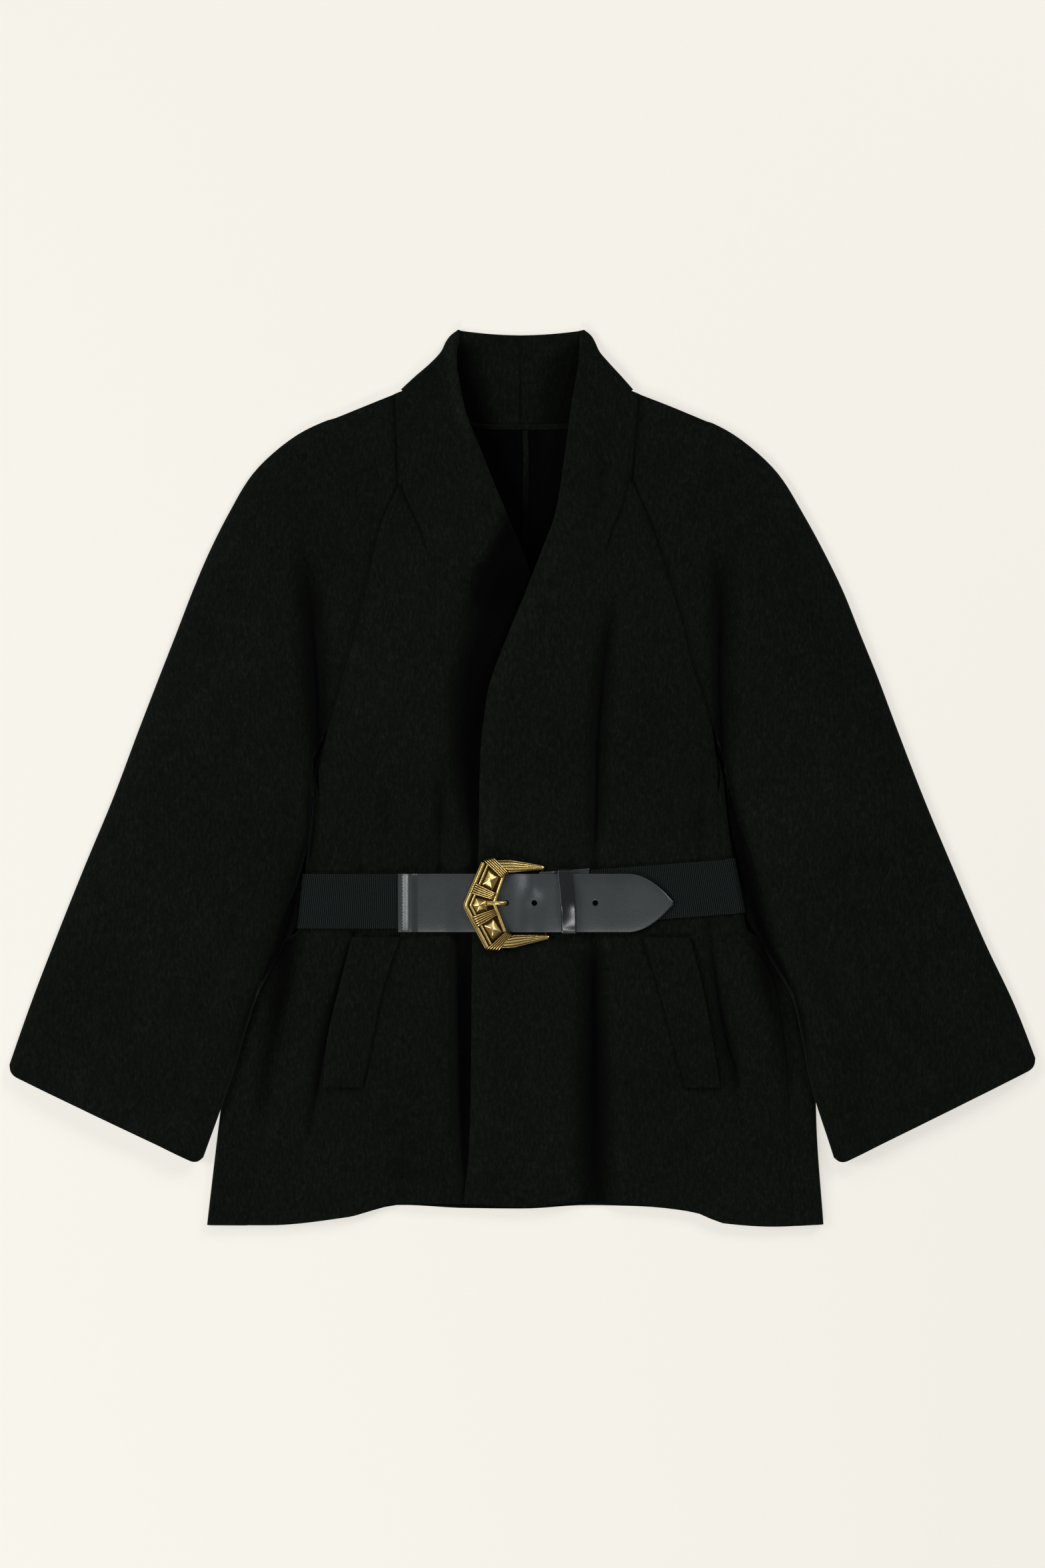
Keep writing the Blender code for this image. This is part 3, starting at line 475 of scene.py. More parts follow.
def frontRows(side):
    # height and outer seam of every row, from the hem to the neck point
    rows = [(y, at(body, "seam" + cap(side), y)) for y in np.linspace(hemBase, underarmY, fronts["bodyRows"])]
    raglan = [(sleeveAt(side, "inY", row), sleeveAt(side, "inX", row)) for row in raglanRows()[::-1]]
    last, join = rows[-1], raglan[0]
    for t in np.linspace(0, 1, fronts["joinRows"])[1:-1]:
        rows.append((between(last[0], join[0], t), between(last[1], join[1], t)))
    rows += raglan
    start, end = ([sleeveAt(side, name + axis, 0) for axis in "YX"] for name in ("in", "out"))
    for t in np.linspace(0, 1, fronts["neckRows"])[1:]:
        rows.append((between(start[0], end[0], t), between(start[1], end[1], t)))
    return rows


def frontHeight(side, x, y, outerX):
    across = np.clip((x - cloth["centreX"]) / (outerX - cloth["centreX"]), 0, 1)
    outer, half, centre = (at(heights, name, y) for name in ("outer", "half", "centre"))
    height = centre * (1 - across) * (1 - 2 * across) + 4 * half * across * (1 - across)
    height = height + outer * across * (2 * across - 1)
    calm = ramp(1 - across, 0, fronts["calm"])
    height = height - foldDepth("front" + cap(side), x, y) * calm
    if side == "left":
        height = height - underDrop(x, y)
    belted = within(y, fronts["beltBelow"], fronts["beltAbove"])
    return height + unevenness(x, y) * calm * (1 - fronts["beltCalm"] * belted)


def frontLine(side, y, outerX, sink=1.0):
    start = outerX + cloth["seamHalf"] * inwardOf(side)
    edge = at(edges, side, y)
    share = spacedShares("front" + cap(side), (start, y), (edge, y), fronts["columns"])
    x = between(start, edge, share)
    z = frontHeight(side, x, y, outerX) - seamSink(abs(x - start)) * sink
    # the turned edge is thick just inside and falls away at the very edge
    roll = fronts["rollShare"][side] * ramp(y, *fronts["rollY"])
    away = np.abs(x - edge)
    z = z - fronts["edgeFall"] * bell(away, fronts["edgeFallWidth"])
    z = z + fronts["rollRise"] * roll * bell(away - fronts["rollAway"], fronts["rollWidth"])
    return np.stack((x, y + hemShift("front", x, y), z), axis=1)


collar = {
    "rows": 20,
    "foldSteps": 10,
    "backColumns": 16,
    "y": (334.5, 386.0),       # at the fold, from above the neck point to the top
    "backY": (304.0, 382.0),   # the same at centre back
    "backCross": 0.15,
    "backSpread": 1.8,
    "bend": (1.9, 1.7),        # the neck seam runs level behind the neck, the top edge less so
    "seamDip": 0.6,
    "seamDipWidth": 1.2,
}


def makeFront(side):
    inward = inwardOf(side)
    lines = [frontLine(side, y, outerX) for y, outerX in frontRows(side)]
    wrap = []
    angles = np.linspace(0, math.pi, collar["foldSteps"] + 1)
    backShares = 1 - (1 - np.linspace(0, 1, collar["backColumns"] + 1)[1:]) ** collar["backSpread"]
    endX = cloth["centreX"] + collar["backCross"] * inward
    lowY, highY = collar["y"]
    for y in between(lowY, highY, np.sin(np.linspace(0, math.pi / 2, collar["rows"]))):
        foldX = at(collarFold, side, y)
        radius = (at(heights, "outer", y) - groundMid) / 2
        line = frontLine(side, y, foldX + (radius - cloth["seamHalf"]) * inward, 0.0)
        lines.append(line)
        turnX = foldX + radius * inward - radius * inward * np.sin(angles)
        turnZ = groundMid + radius + radius * np.cos(angles)
        turnX[0], turnZ[0] = line[0][0], line[0][2]
        turn = [(a, y, b) for a, b in zip(turnX, turnZ)]
        top = (y - lowY) / (highY - lowY)
        endY = between(*collar["backY"], top)
        for t in backShares:
            bend = 1 - (1 - t) ** (collar["bend"][0] + collar["bend"][1] * (1 - top))
            dip = collar["seamDip"] * bell((1 - t) * (endX - turnX[-1]), collar["seamDipWidth"])
            turn.append((between(turnX[-1], endX, t), between(y, endY, bend), groundMid - dip))
        wrap.append(turn)
    return clothShell("front" + cap(side) + "Cloth", (lines, wrap))


# backs, folded over at the sides
backs = {
    "rows": 120,
    "flatColumns": 26,
    "foldSteps": 12,
    "topColumns": 10,
    "raglanStep": 0.25,
    "runOutY": (-16.0, underarmY),   # the fold runs out at the underarm
    "runOut": 0.5,
    "trough": 3.6,                   # the skirt's side sinks just outside its seam
    "troughBelow": (-300, -240),
    "troughAbove": (-160, -134),
    "troughAway": 7,
    "troughWidth": 6,
    "neckDrop": 2.2,
    "neckEase": 1.5,
    "neckLevel": 4,
}


def makeBack(side):
    inward = inwardOf(side)
    centre = cloth["centreX"] - cloth["seamHalf"] * inward
    angles = np.linspace(0, math.pi, backs["foldSteps"] + 1)
    flat = np.linspace(0, 1, backs["flatColumns"])[:-1]
    upper = np.linspace(0, 1, backs["topColumns"] + 1)[1:]
    lines = []
    for y in np.linspace(hemBase, underarmY, backs["rows"]):
        foldX = at(body, "fold" + cap(side), y)
        seamX = at(body, "seam" + cap(side), y) - cloth["seamHalf"] * inward
        radius = foldRadius(y)
        low = groundMid + channel(y)
        turnX = foldX + radius * inward
        shrink = 1 - backs["runOut"] * ramp(y, *backs["runOutY"])
        turned = angles * shrink
        xs = np.append(between(centre, turnX, flat), turnX - radius * inward * np.sin(turned))
        zs = np.append(np.full(len(flat), low), low + radius - radius * np.cos(turned))
        stopX = seamX + (foldX - seamX) * (1 - shrink) / backs["runOut"]
        stopZ = zs[-1] if shrink < 1 else low + 2 * radius
        overX, overZ = between(xs[-1], stopX, upper), between(zs[-1], stopZ, upper)
        away = np.abs(overX - seamX)
        trough = backs["trough"] * within(y, backs["troughBelow"], backs["troughAbove"])
        overZ = overZ - seamSink(away) * (shrink >= 1)
        overZ = overZ - trough * bell(away - backs["troughAway"], backs["troughWidth"])
        xs, zs = np.append(xs, overX), np.append(zs, overZ)
        lines.append(np.stack((xs, y + hemShift("back", xs, y), zs), axis=1))
    share = np.linspace(0, 1, len(lines[0]))
    for row in np.arange(underarmRow - 1, -0.001, -backs["raglanStep"]):
        edgeX = sleeveAt(side, "backX", row) + cloth["seamHalf"] * inward
        edgeY = sleeveAt(side, "backY", row) - backs["neckDrop"] * (1 - min(row, 1))
        sag = (backNeckY - backs["neckEase"] - edgeY) * ramp(1 - row, 0, 1)
        x = between(centre, edgeX, share)
        y = edgeY + sag * (1 - share ** backs["neckLevel"])
        lines.append(np.stack((x, y, np.full(len(x), groundMid)), axis=1))
    return clothShell("back" + cap(side) + "Cloth", (lines,))


# two-piece raglan sleeves
sleeveCut = {
    "columns": 64,
    "backColumns": 30,
    "edgeCrowd": 0.6,            # the back's columns lie closer at both edges
    "jointRows": 9,
    "lowerStep": 0.08,
    "liftShares": (0.09, 0.24),  # across the sleeve, where it comes down off the skirt
    "seamSettle": 0.9,
    "crownPower": 2.4,
    "uneven": 1.3,
    "unevenSeed": 11,
    "neckRow": 0.4,
    "cuffRound": 9.0,
    "cuffRows": (13.5, 14),
    "cuffShare": 0.8,
    "tuck": 6.0,                 # spare cloth at the underarm tucks in beside the body
    "tuckRows": ((6.3, 7.6), (11.6, 12.6)),
    "waistTuck": 12.0,
    "waistRow": (10.8, 0.7),
    "leastTuck": 0.3,
    "fullTuck": 3,
    "tuckColumns": 6,
    "tuckFall": 0.6,
}


def sleeveRows():
    upper = raglanRows()
    joint = np.linspace(underarmRow - 1, underarmRow, sleeveCut["jointRows"])[1:]
    lower = np.linspace(underarmRow, cuffRow, int((cuffRow - underarmRow) / sleeveCut["lowerStep"]))[1:]
    if upper[-1] < underarmRow - 1:
        upper = np.append(upper, underarmRow - 1)
    return np.concatenate((upper, joint, lower))


def sleeveBackHeight(side, row, u):
    return groundMid + sleeveAt(side, "lift", row) * (1 - ramp(u, *sleeveCut["liftShares"]))


def sleeveFrontHeight(side, row, u, x, y):
    seam = at(heights, "outer", sleeveAt(side, "inY", row))
    rest = cloth["wall"] + cloth["restGap"]
    if row > underarmRow:
        settled = ramp(row, underarmRow, underarmRow + sleeveCut["seamSettle"])
        seam = between(seam, groundMid + rest, settled)
        edge = sleeveBackHeight(side, row, u) + rest + (seam - groundMid - rest) * (1 - u)
    else:
        edge = between(seam, groundMid + rest, u)
    reach = sleeveAt(side, "outX", row) - sleeveAt(side, "inX", row)
    strip = sleeveAt(side, "flange", row) / abs(reach)
    raised = np.clip((u - strip) / (1 - strip), 0, 1)
    roundOver = np.sqrt(np.clip(1 - np.abs(2 * raised - 1) ** sleeveCut["crownPower"], 0, 1))
    height = edge + sleeveAt(side, "crown", row) * roundOver
    height = height - foldDepth("sleeveFront" + cap(side), x, y) * np.sqrt(roundOver)
    height = height + unevenness(x, y, sleeveCut["unevenSeed"]) * sleeveCut["uneven"] * roundOver
    if row < 1:
        height = height * row + at(heights, "outer", y) * (1 - row)
    return height


def roundCuff(side, row, x, y):
    # both corners of the cuff are rounded off along the sleeve
    radius = sleeveCut["cuffRound"]
    close = ramp(row, *sleeveCut["cuffRows"])
    along = np.array([sleeveAt(side, name, cuffRow) - sleeveAt(side, name, cuffRow - 1)
                      for name in ("outX", "outY")])
    along = along / np.linalg.norm(along)
    first = np.hypot(x - x[0], y - y[0])
    last = np.hypot(x - x[-1], y - y[-1])
    near = np.clip(radius - np.minimum(first, last), 0, radius)
    back = (radius - np.sqrt(radius ** 2 - near ** 2)) * close * sleeveCut["cuffShare"]
    return x - along[0] * back, y - along[1] * back


def makeSleeveFront(side):
    outward = -inwardOf(side)
    lines = []
    for row in sleeveRows():
        startX = sleeveAt(side, "inX", row) + cloth["seamHalf"] * outward
        startY = sleeveAt(side, "inY", row)
        endX = sleeveAt(side, "outX", row) + cloth["seamHalf"] * outward * (row < 1)
        endY = sleeveAt(side, "outY", row)
        u = spacedShares("sleeveFront" + cap(side), (startX, startY), (endX, endY), sleeveCut["columns"])
        x, y = between(startX, endX, u), between(startY, endY, u)
        z = sleeveFrontHeight(side, row, u, x, y)
        if row <= underarmRow - 1:
            z = z - seamSink(np.abs(x - startX))
        if row < sleeveCut["neckRow"]:
            z = z - cloth["seamRoll"] * (1 - row / sleeveCut["neckRow"])
        x, y = roundCuff(side, row, x, y)
        lines.append(np.stack((x, y, z), axis=1))
    return clothShell("sleeveFront" + cap(side) + "Cloth", (lines,))


def makeSleeveBack(side):
    outward = -inwardOf(side)
    u = np.linspace(0, 1, sleeveCut["backColumns"])
    crowd = sleeveCut["edgeCrowd"]
    u = (1 - crowd) * u + crowd * (1 - np.cos(u * math.pi)) / 2
    fall = np.linspace(1, 0, sleeveCut["tuckColumns"])[:-1]
    waistRow, waistRows = sleeveCut["waistRow"]
    lines = []
    for row in sleeveRows():
        neckDrop = backs["neckDrop"] * (1 - min(row, 1))
        startX = sleeveAt(side, "backX", row) + cloth["seamHalf"] * outward * (row < underarmRow)
        startY = sleeveAt(side, "backY", row) - neckDrop
        x = between(startX, sleeveAt(side, "outX", row), u)
        y = between(startY, sleeveAt(side, "outY", row) - neckDrop, u)
        x, y = roundCuff(side, row, x, y)
        z = sleeveBackHeight(side, row, u)
        tuck = sleeveCut["tuck"] * within(row, *sleeveCut["tuckRows"])
        tuck += sleeveCut["waistTuck"] * bell(row - waistRow, waistRows)
        tuck = max(tuck, sleeveCut["leastTuck"])
        settle = ramp(fall, 0, sleeveCut["tuckFall"]) * min(1.0, tuck / sleeveCut["fullTuck"])
        x = np.append(x[0] - outward * tuck * fall, x)
        y = np.append(np.full(len(fall), y[0]), y)
        z = np.append(z[0] - (z[0] - groundMid) * settle, z)
        lines.append(np.stack((x, y, z), axis=1))
    return clothShell("sleeveBack" + cap(side) + "Cloth", (lines,))


panels = {}
for side in ("left", "right"):
    panels["front_" + side] = makeFront(side)
    panels["back_" + side] = makeBack(side)
    panels["sleeve_front_" + side] = makeSleeveFront(side)
    panels["sleeve_back_" + side] = makeSleeveBack(side)
print("panels cut:", {name: len(piece.data.polygons) for name, piece in panels.items()})


# what lies on the panels is set by the height of the cloth under it
def treeOf(*pieces):
    trees = []
    for piece in pieces:
        points = [vert.co for vert in piece.data.vertices]
        trees.append(BVHTree.FromPolygons(points, [tuple(face.vertices) for face in piece.data.polygons]))
    return trees


def topUnder(x, y, trees):
    best = 0.0
    for tree in trees:
        hit = tree.ray_cast(Vector((x * mm, y * mm, 1)), Vector((0, 0, -1)))[0]
        if hit is not None:
            best = max(best, hit.z / mm)
    return best


def highestNear(x, lowY, highY, trees, reach):
    spots = [(x + dx, y) for dx in (-reach, 0, reach) for y in np.linspace(lowY, highY, 9)]
    return max(topUnder(a, b, trees) for a, b in spots)


def eased(values, width):
    # spreads the highest values, then smooths them, so a stiff strip bridges dips
    values = np.asarray(values, float)
    count = len(values)
    spread = np.array([values[max(0, i - width):i + width + 1].max() for i in range(count)])
    kernel = np.hanning(2 * width + 3)[1:-1]
    padded = np.pad(spread, width, mode="edge")
    return np.convolve(padded, kernel / kernel.sum(), mode="valid")


bodyTrees = treeOf(*(panels[name] for name in ("front_left", "front_right", "back_left", "back_right")))

# slanted pocket welts, sewn down along the inner side
welts = {
    "left": table("y sewn open", (-266, -138, -171), (-230, -130.5, -168), (-180, -120, -157),
                  (-137, -106, -146)),
    "right": table("y sewn open", (-266, 140.5, 170), (-230, 131, 164), (-180, 117, 155),
                   (-137, 104, 144)),
}
weltCut = {"wall": 2.0, "rows": 64, "columns": 22, "reach": 2.5, "ease": 2, "clear": 0.35,
           "endRoll": 0.16, "endRollWidth": 2.0}


def makeWelt(side):
    rows = welts[side]
    count = weltCut["rows"]
    ys = np.linspace(rows["y"][0], rows["y"][-1], count)
    share = (1 - np.cos(np.linspace(0, math.pi, weltCut["columns"]))) / 2
    xs = np.array([between(at(rows, "sewn", y), at(rows, "open", y), share) for y in ys])
    steps = (-weltCut["reach"], 0, weltCut["reach"])
    around = [(a, b) for a in steps for b in steps]
    height = np.array([[max(topUnder(x + a, y + b, bodyTrees) for a, b in around) for x in line]
                       for line, y in zip(xs, ys)])
    for turn in range(2):
        height = np.array([eased(line, weltCut["ease"]) for line in height])
        height = np.array([eased(line, weltCut["ease"]) for line in height.T]).T
    ends = np.minimum(np.arange(count), np.arange(count)[::-1]) * (ys[1] - ys[0])
    roll = weltCut["endRoll"] * bell(ends, weltCut["endRollWidth"])
    height = height + weltCut["clear"] + weltCut["wall"] / 2 - roll[:, None]
    lines = [[(x, y, z) for x, z in zip(xs[r], height[r])] for r, y in enumerate(ys)]
    return clothShell("pocketWelt" + cap(side) + "Cloth", (lines,), wall=weltCut["wall"])


for side in ("left", "right"):
    panels["pocket_welt_" + side] = makeWelt(side)

# tape over the back neck seam and the bound centre-back seam below it
neckTape = {"x": (-54.0, 49.0), "half": 2.4, "z": 2.5, "rise": 1.6, "span": 46.0, "wall": 0.8,
            "rows": 60, "columns": 15, "cord": 1.3, "cordShare": 0.6}
binding = {"x": 2.4, "y": (150.0, 300.0), "half": 2.3, "z": 2.55, "crown": 0.55, "crownShare": 0.9,
           "wall": 0.6, "rows": 80, "columns": 7, "wander": 0.5, "wanderRun": 19}


def makeNeckTape():
    lines = []
    for x in np.linspace(*neckTape["x"], neckTape["rows"]):
        y = backNeckY + neckTape["rise"] * ((x - cloth["centreX"]) / neckTape["span"]) ** 4
        line = []
        for t in np.linspace(-1, 1, neckTape["columns"]):
            ridge = neckTape["cord"] * math.exp(-(t / neckTape["cordShare"]) ** 4)   # a cord lies inside
            line.append((x, y + neckTape["half"] * t, neckTape["z"] + ridge))
        lines.append(line)
    return clothShell("neckTapeCloth", (lines,), wall=neckTape["wall"])


def makeCentreBinding():
    lines = []
    for y in np.linspace(*binding["y"], binding["rows"]):
        x = binding["x"] + binding["wander"] * math.sin(y / binding["wanderRun"])
        line = []
        for t in np.linspace(-1, 1, binding["columns"]):
            z = binding["z"] + binding["crown"] * math.sqrt(1 - binding["crownShare"] * t * t)
            line.append((x + binding["half"] * t, y, z))
        lines.append(line)
    return clothShell("centreBackBinding", (lines,), wall=binding["wall"])


panels["neck_tape"] = makeNeckTape()
centreBinding = makeCentreBinding()
print("welts and neck tape laid on")

# belt: ribbed elastic round the back, leather strap, chape and keeper, open buckle
belt = {
    "elasticWidth": 47.0,
    "elasticWall": 1.8,
    "leatherWidth": 50.0,
    "leatherWall": 2.2,
    "strapY": -107.2,
    "strapStartX": -107.0,
    "taperX": 90.5,
    "tipX": 128.8,
    "pointShare": 0.965,
    "holes": (-14.2, 10.1, 62.6),
    "holeRadius": 2.5,
    "leftEndX": -94.0,
    "rightEndX": 58.0,
    "chapeX": (14.5, 57.5),
    "barX": 18.7,
    "barReach": 3,
    "barTop": (17.0, -77.6),
    "barBottom": (20.5, -137.0),
    "barRadius": 1.6,
    "barSink": 1.2,
    "leftY": -105.8,
    "rightX": 63,
    "rightY": -102,
    "rightSlope": 0.075,
    "sideX": 190,
    "acrossColumns": 13,
    "frontRows": 44,
    "turnSteps": 18,
    "backRows": 24,
    "sideMeet": (0.86, 1.0),   # share of the front run where it goes over to the side fold
}


def leftMiddle(x):
    return belt["leftY"]


def rightMiddle(x):
    return belt["rightY"] + (x - belt["rightX"]) * belt["rightSlope"]


def beltTurn(side, y):
    # points round the body's side fold at one height, from front to ground
    inward = inwardOf(side)
    radius = foldRadius(y)
    turnX = at(body, "fold" + cap(side), y) + radius * inward
    reach = radius + cloth["wall"] / 2 + cloth["restGap"] + belt["elasticWall"] / 2
    middle = groundMid + channel(y) + radius
    angles = np.linspace(0, math.pi, belt["turnSteps"] + 1)
    return [(turnX - reach * inward * math.sin(a), y, middle + reach * math.cos(a)) for a in angles]


def elasticTurns(side, middle):
    offsets = np.linspace(-0.5, 0.5, belt["acrossColumns"]) * belt["elasticWidth"]
    return [beltTurn(side, middle(belt["sideX"]) + offset) for offset in offsets]


def elasticFront(side, endX, middle):
    offsets = np.linspace(-0.5, 0.5, belt["acrossColumns"]) * belt["elasticWidth"]
    first = [turn[0] for turn in elasticTurns(side, middle)]
    shares = np.linspace(0, 1, belt["frontRows"])[:-1]
    tops, lines = [], []
    for t in shares:
        xs = [between(endX, turn[0], t) for turn in first]
        line = [[x, middle(abs(x)) + offset, 0.0] for x, offset in zip(xs, offsets)]
        ys = [point[1] for point in line]
        tops.append(highestNear(sum(xs) / len(xs), min(ys), max(ys), bodyTrees, 2))
        lines.append(line)
    tops = eased(tops, 2) + cloth["restGap"] + belt["elasticWall"] / 2
    for t, top, line in zip(shares, tops, lines):
        meet = ramp(t, *belt["sideMeet"])
        for point, turn in zip(line, first):
            point[2] = max(top, turn[2]) * (1 - meet) + turn[2] * meet
    return lines


def runAttribute(piece, lines):
    # length along the band and place across it, for the weave
    rows = np.array(lines)
    steps = np.linalg.norm(np.diff(rows.mean(axis=1), axis=0), axis=1)
    along = np.concatenate(([0], np.cumsum(steps)))
    places = {}
    for line, run in zip(lines, along):
        for number, point in enumerate(line):
            places.setdefault(placeKey(point), (run * mm, number / (len(line) - 1), 0.0))
    values = list(places.values()) * 2
    layer = piece.data.attributes.new("bandRun", "FLOAT_VECTOR", "POINT")
    layer.data.foreach_set("vector", np.array(values, np.float32).ravel())


def makeElastic():
    leftTurns = elasticTurns("left", leftMiddle)
    rightTurns = elasticTurns("right", rightMiddle)
    lines = elasticFront("left", belt["leftEndX"], leftMiddle)
    lines += [list(step) for step in zip(*leftTurns)]
    for t in np.linspace(0, 1, belt["backRows"])[1:-1]:
        pairs = [(np.array(a[-1]), np.array(b[-1])) for a, b in zip(leftTurns, rightTurns)]
        lines.append([tuple(a * (1 - t) + b * t) for a, b in pairs])
    lines += [list(step) for step in zip(*[turn[::-1] for turn in rightTurns])]
    lines += elasticFront("right", belt["rightEndX"], rightMiddle)[::-1]
    piece = clothShell("beltElasticBand", (lines,), wall=belt["elasticWall"], upright=False)
    runAttribute(piece, lines)
    return piece


def bake(piece):
    # modifiers made into plain mesh
    graph = bpy.context.evaluated_depsgraph_get()
    mesh = bpy.data.meshes.new_from_object(piece.evaluated_get(graph))
    old = piece.data
    piece.modifiers.clear()
    piece.data = mesh
    bpy.data.meshes.remove(old)


def softEdge(piece, width, segments=2):
    bevel = piece.modifiers.new("soft edge", "BEVEL")
    bevel.width = width * mm
    bevel.segments = segments
    bevel.limit_method = "ANGLE"
    bevel.angle_limit = math.radians(50)
    bake(piece)
    piece.data.shade_smooth()
    piece.data.set_sharp_from_angle(angle=math.radians(60))


elastic = makeElastic()
barEnds = np.array(belt["barTop"]), np.array(belt["barBottom"])
barSpots = [barEnds[0] * (1 - t) + barEnds[1] * t for t in np.linspace(-0.04, 1.04, 9)]
barZ = max(topUnder(x, y, bodyTrees) for x, y in barSpots) + belt["barRadius"] - belt["barSink"]


def makeChape():
    half = belt["leatherWidth"] / 2
    xs = np.linspace(*belt["chapeX"], 26)
    tops = [highestNear(x, rightMiddle(x) - half, rightMiddle(x) + half, bodyTrees, 3) for x in xs]
    # its end goes over the bar
    barTop = barZ + belt["barRadius"]
    tops = [max(z, barTop) if abs(x - belt["barX"]) < belt["barReach"] else z for x, z in zip(xs, tops)]
    tops = eased(tops, 3) + cloth["restGap"] + belt["leatherWall"] / 2
    across = np.linspace(-0.5, 0.5, 15) * belt["leatherWidth"]
    lines = [[(x, y, z) for y in rightMiddle(x) + across] for x, z in zip(xs, tops)]
    piece = clothShell("beltChapeLeather", (lines,), wall=belt["leatherWall"], upright=False)
    softEdge(piece, 0.4)
    return piece


chape = makeChape()
underStrap = bodyTrees + treeOf(elastic, chape)

strapShape = {
    "rows": 150,
    "pointRows": 26,
    "columns": 25,
    "ease": 12,
    "edgeDrop": 0.35,
    "slack": 2.0,              # the leather twists a little between the buckle and the keeper
    "slackX": 9.0,
    "slackHalf": 8.0,
    "slackAcross": (-0.2, 0.6),
    "jointRise": 2.8,          # folded back over the elastic, it rises past its stitches and dips beyond
    "jointUp": (-104.3, -97),
    "jointDown": (-96.5, -89.5),
    "jointDip": 0.8,
    "soften": 0.42,
}


def strapHalf(x):
    past = max(0.0, (x - belt["taperX"]) / (belt["tipX"] - belt["taperX"]))
    return belt["leatherWidth"] / 2 * (1 - belt["pointShare"] * past ** 2)


def strapLine():
    point = np.sin(np.linspace(0, math.pi / 2, strapShape["pointRows"]))[1:]
    xs = np.append(np.linspace(belt["strapStartX"], belt["taperX"], strapShape["rows"]),
                   between(belt["taperX"], belt["tipX"], point))
    y = belt["strapY"]
    tops = [highestNear(x, y - strapHalf(x), y + strapHalf(x), underStrap, 2) for x in xs]
    z = eased(tops, strapShape["ease"]) + cloth["restGap"] + belt["leatherWall"] / 2
    down = strapShape["jointDip"] * ramp(xs, *strapShape["jointDown"])
    return xs, z + strapShape["jointRise"] * (ramp(xs, *strapShape["jointUp"]) - down)


strapX, strapZ = strapLine()


def makeStrap():
    lines = []
    for x, z in zip(strapX, strapZ):
        slack = strapShape["slack"] * bell(x - strapShape["slackX"], strapShape["slackHalf"])
        line = []
        for t in np.linspace(-1, 1, strapShape["columns"]):
            twist = slack * (ramp(t, *strapShape["slackAcross"]) - 0.5)
            height = z - strapShape["edgeDrop"] * abs(t) ** 6 + twist
            line.append((x, belt["strapY"] + strapHalf(x) * t, height))
        lines.append(line)
    piece = clothShell("beltStrapLeather", (lines,), wall=belt["leatherWall"], upright=False)
    cutters = []
    radius = belt["holeRadius"] * mm
    for x in belt["holes"]:
        shape = bmesh.new()
        place = Matrix.Translation((x * mm, belt["strapY"] * mm, np.interp(x, strapX, strapZ) * mm))
        bmesh.ops.create_cone(shape, cap_ends=True, segments=36, radius1=radius, radius2=radius,
                              depth=12 * radius, matrix=place)
        mesh = bpy.data.meshes.new("punch")
        shape.to_mesh(mesh)
        shape.free()
        cutters.append(linked("punch", mesh))
        cut = piece.modifiers.new("punch", "BOOLEAN")
        cut.operation = "DIFFERENCE"
        cut.object = cutters[-1]
    bake(piece)
    for cutter in cutters:
        bpy.data.objects.remove(cutter, do_unlink=True)
    softEdge(piece, strapShape["soften"], 3)
    return piece


strap = makeStrap()

# the keeper leans a little and its near edge stands off the strap
keeper = {
    "topX": 30.0,
    "bottomX": 33.6,
    "bow": 0.9,
    "width": 12.6,
    "top": -77.6,
    "bottom": -134.4,
    "wall": 1.6,
    "round": 3.2,
    "lift": 1.3,
    "arch": 2.2,
    "footSpot": (45, -105),
    "footGap": 0.2,
    "soften": 0.35,
}


def makeKeeper():
    near = (strapX > keeper["topX"] + 2) & (strapX < keeper["bottomX"] + keeper["width"])
    high = strapZ[near].max() + belt["leatherWall"] / 2 + cloth["restGap"] + keeper["wall"] / 2
    low = topUnder(*keeper["footSpot"], treeOf(chape)) + cloth["restGap"] + keeper["footGap"]
    top, bottom = keeper["top"] - keeper["wall"] / 2, keeper["bottom"] + keeper["wall"] / 2
    r = keeper["round"]
    quarter = np.linspace(0, math.pi / 2, 9)
    path = [(top, low)]
    path += [(top - r + r * math.cos(a), high - r + r * math.sin(a)) for a in quarter]
    for t in np.linspace(0, 1, 26)[1:-1]:
        arch = keeper["arch"] * math.sin(math.pi * t) ** 2
        path.append((top - r + (bottom - top + 2 * r) * t, high + arch))
    path += [(bottom + r + r * math.cos(a), high - r + r * math.sin(a))
             for a in np.linspace(math.pi / 2, math.pi, 9)]
    path.append((bottom, low))
    lines = []
    for y, z in path:
        share = (y - top) / (bottom - top)
        leftX = between(keeper["topX"], keeper["bottomX"], share) + keeper["bow"] * math.sin(math.pi * share)
        stand = keeper["lift"] * math.sin(math.pi * min(max(share, 0), 1))
        lines.append([(leftX + keeper["width"] * t, y, z + stand * (1 - t) ** 2)
                      for t in np.linspace(0, 1, 11)])
    middle = len(lines) // 2
    # the first grid starts at the crown, so that the outside faces up
    grids = lines[middle:], lines[:middle + 1]
    piece = clothShell("beltKeeperLeather", grids, wall=keeper["wall"], upright=False)
    softEdge(piece, keeper["soften"])
    return piece


keeperLoop = makeKeeper()
print("belt band, strap, chape and keeper made; strap top", round(float(strapZ.max()), 2))

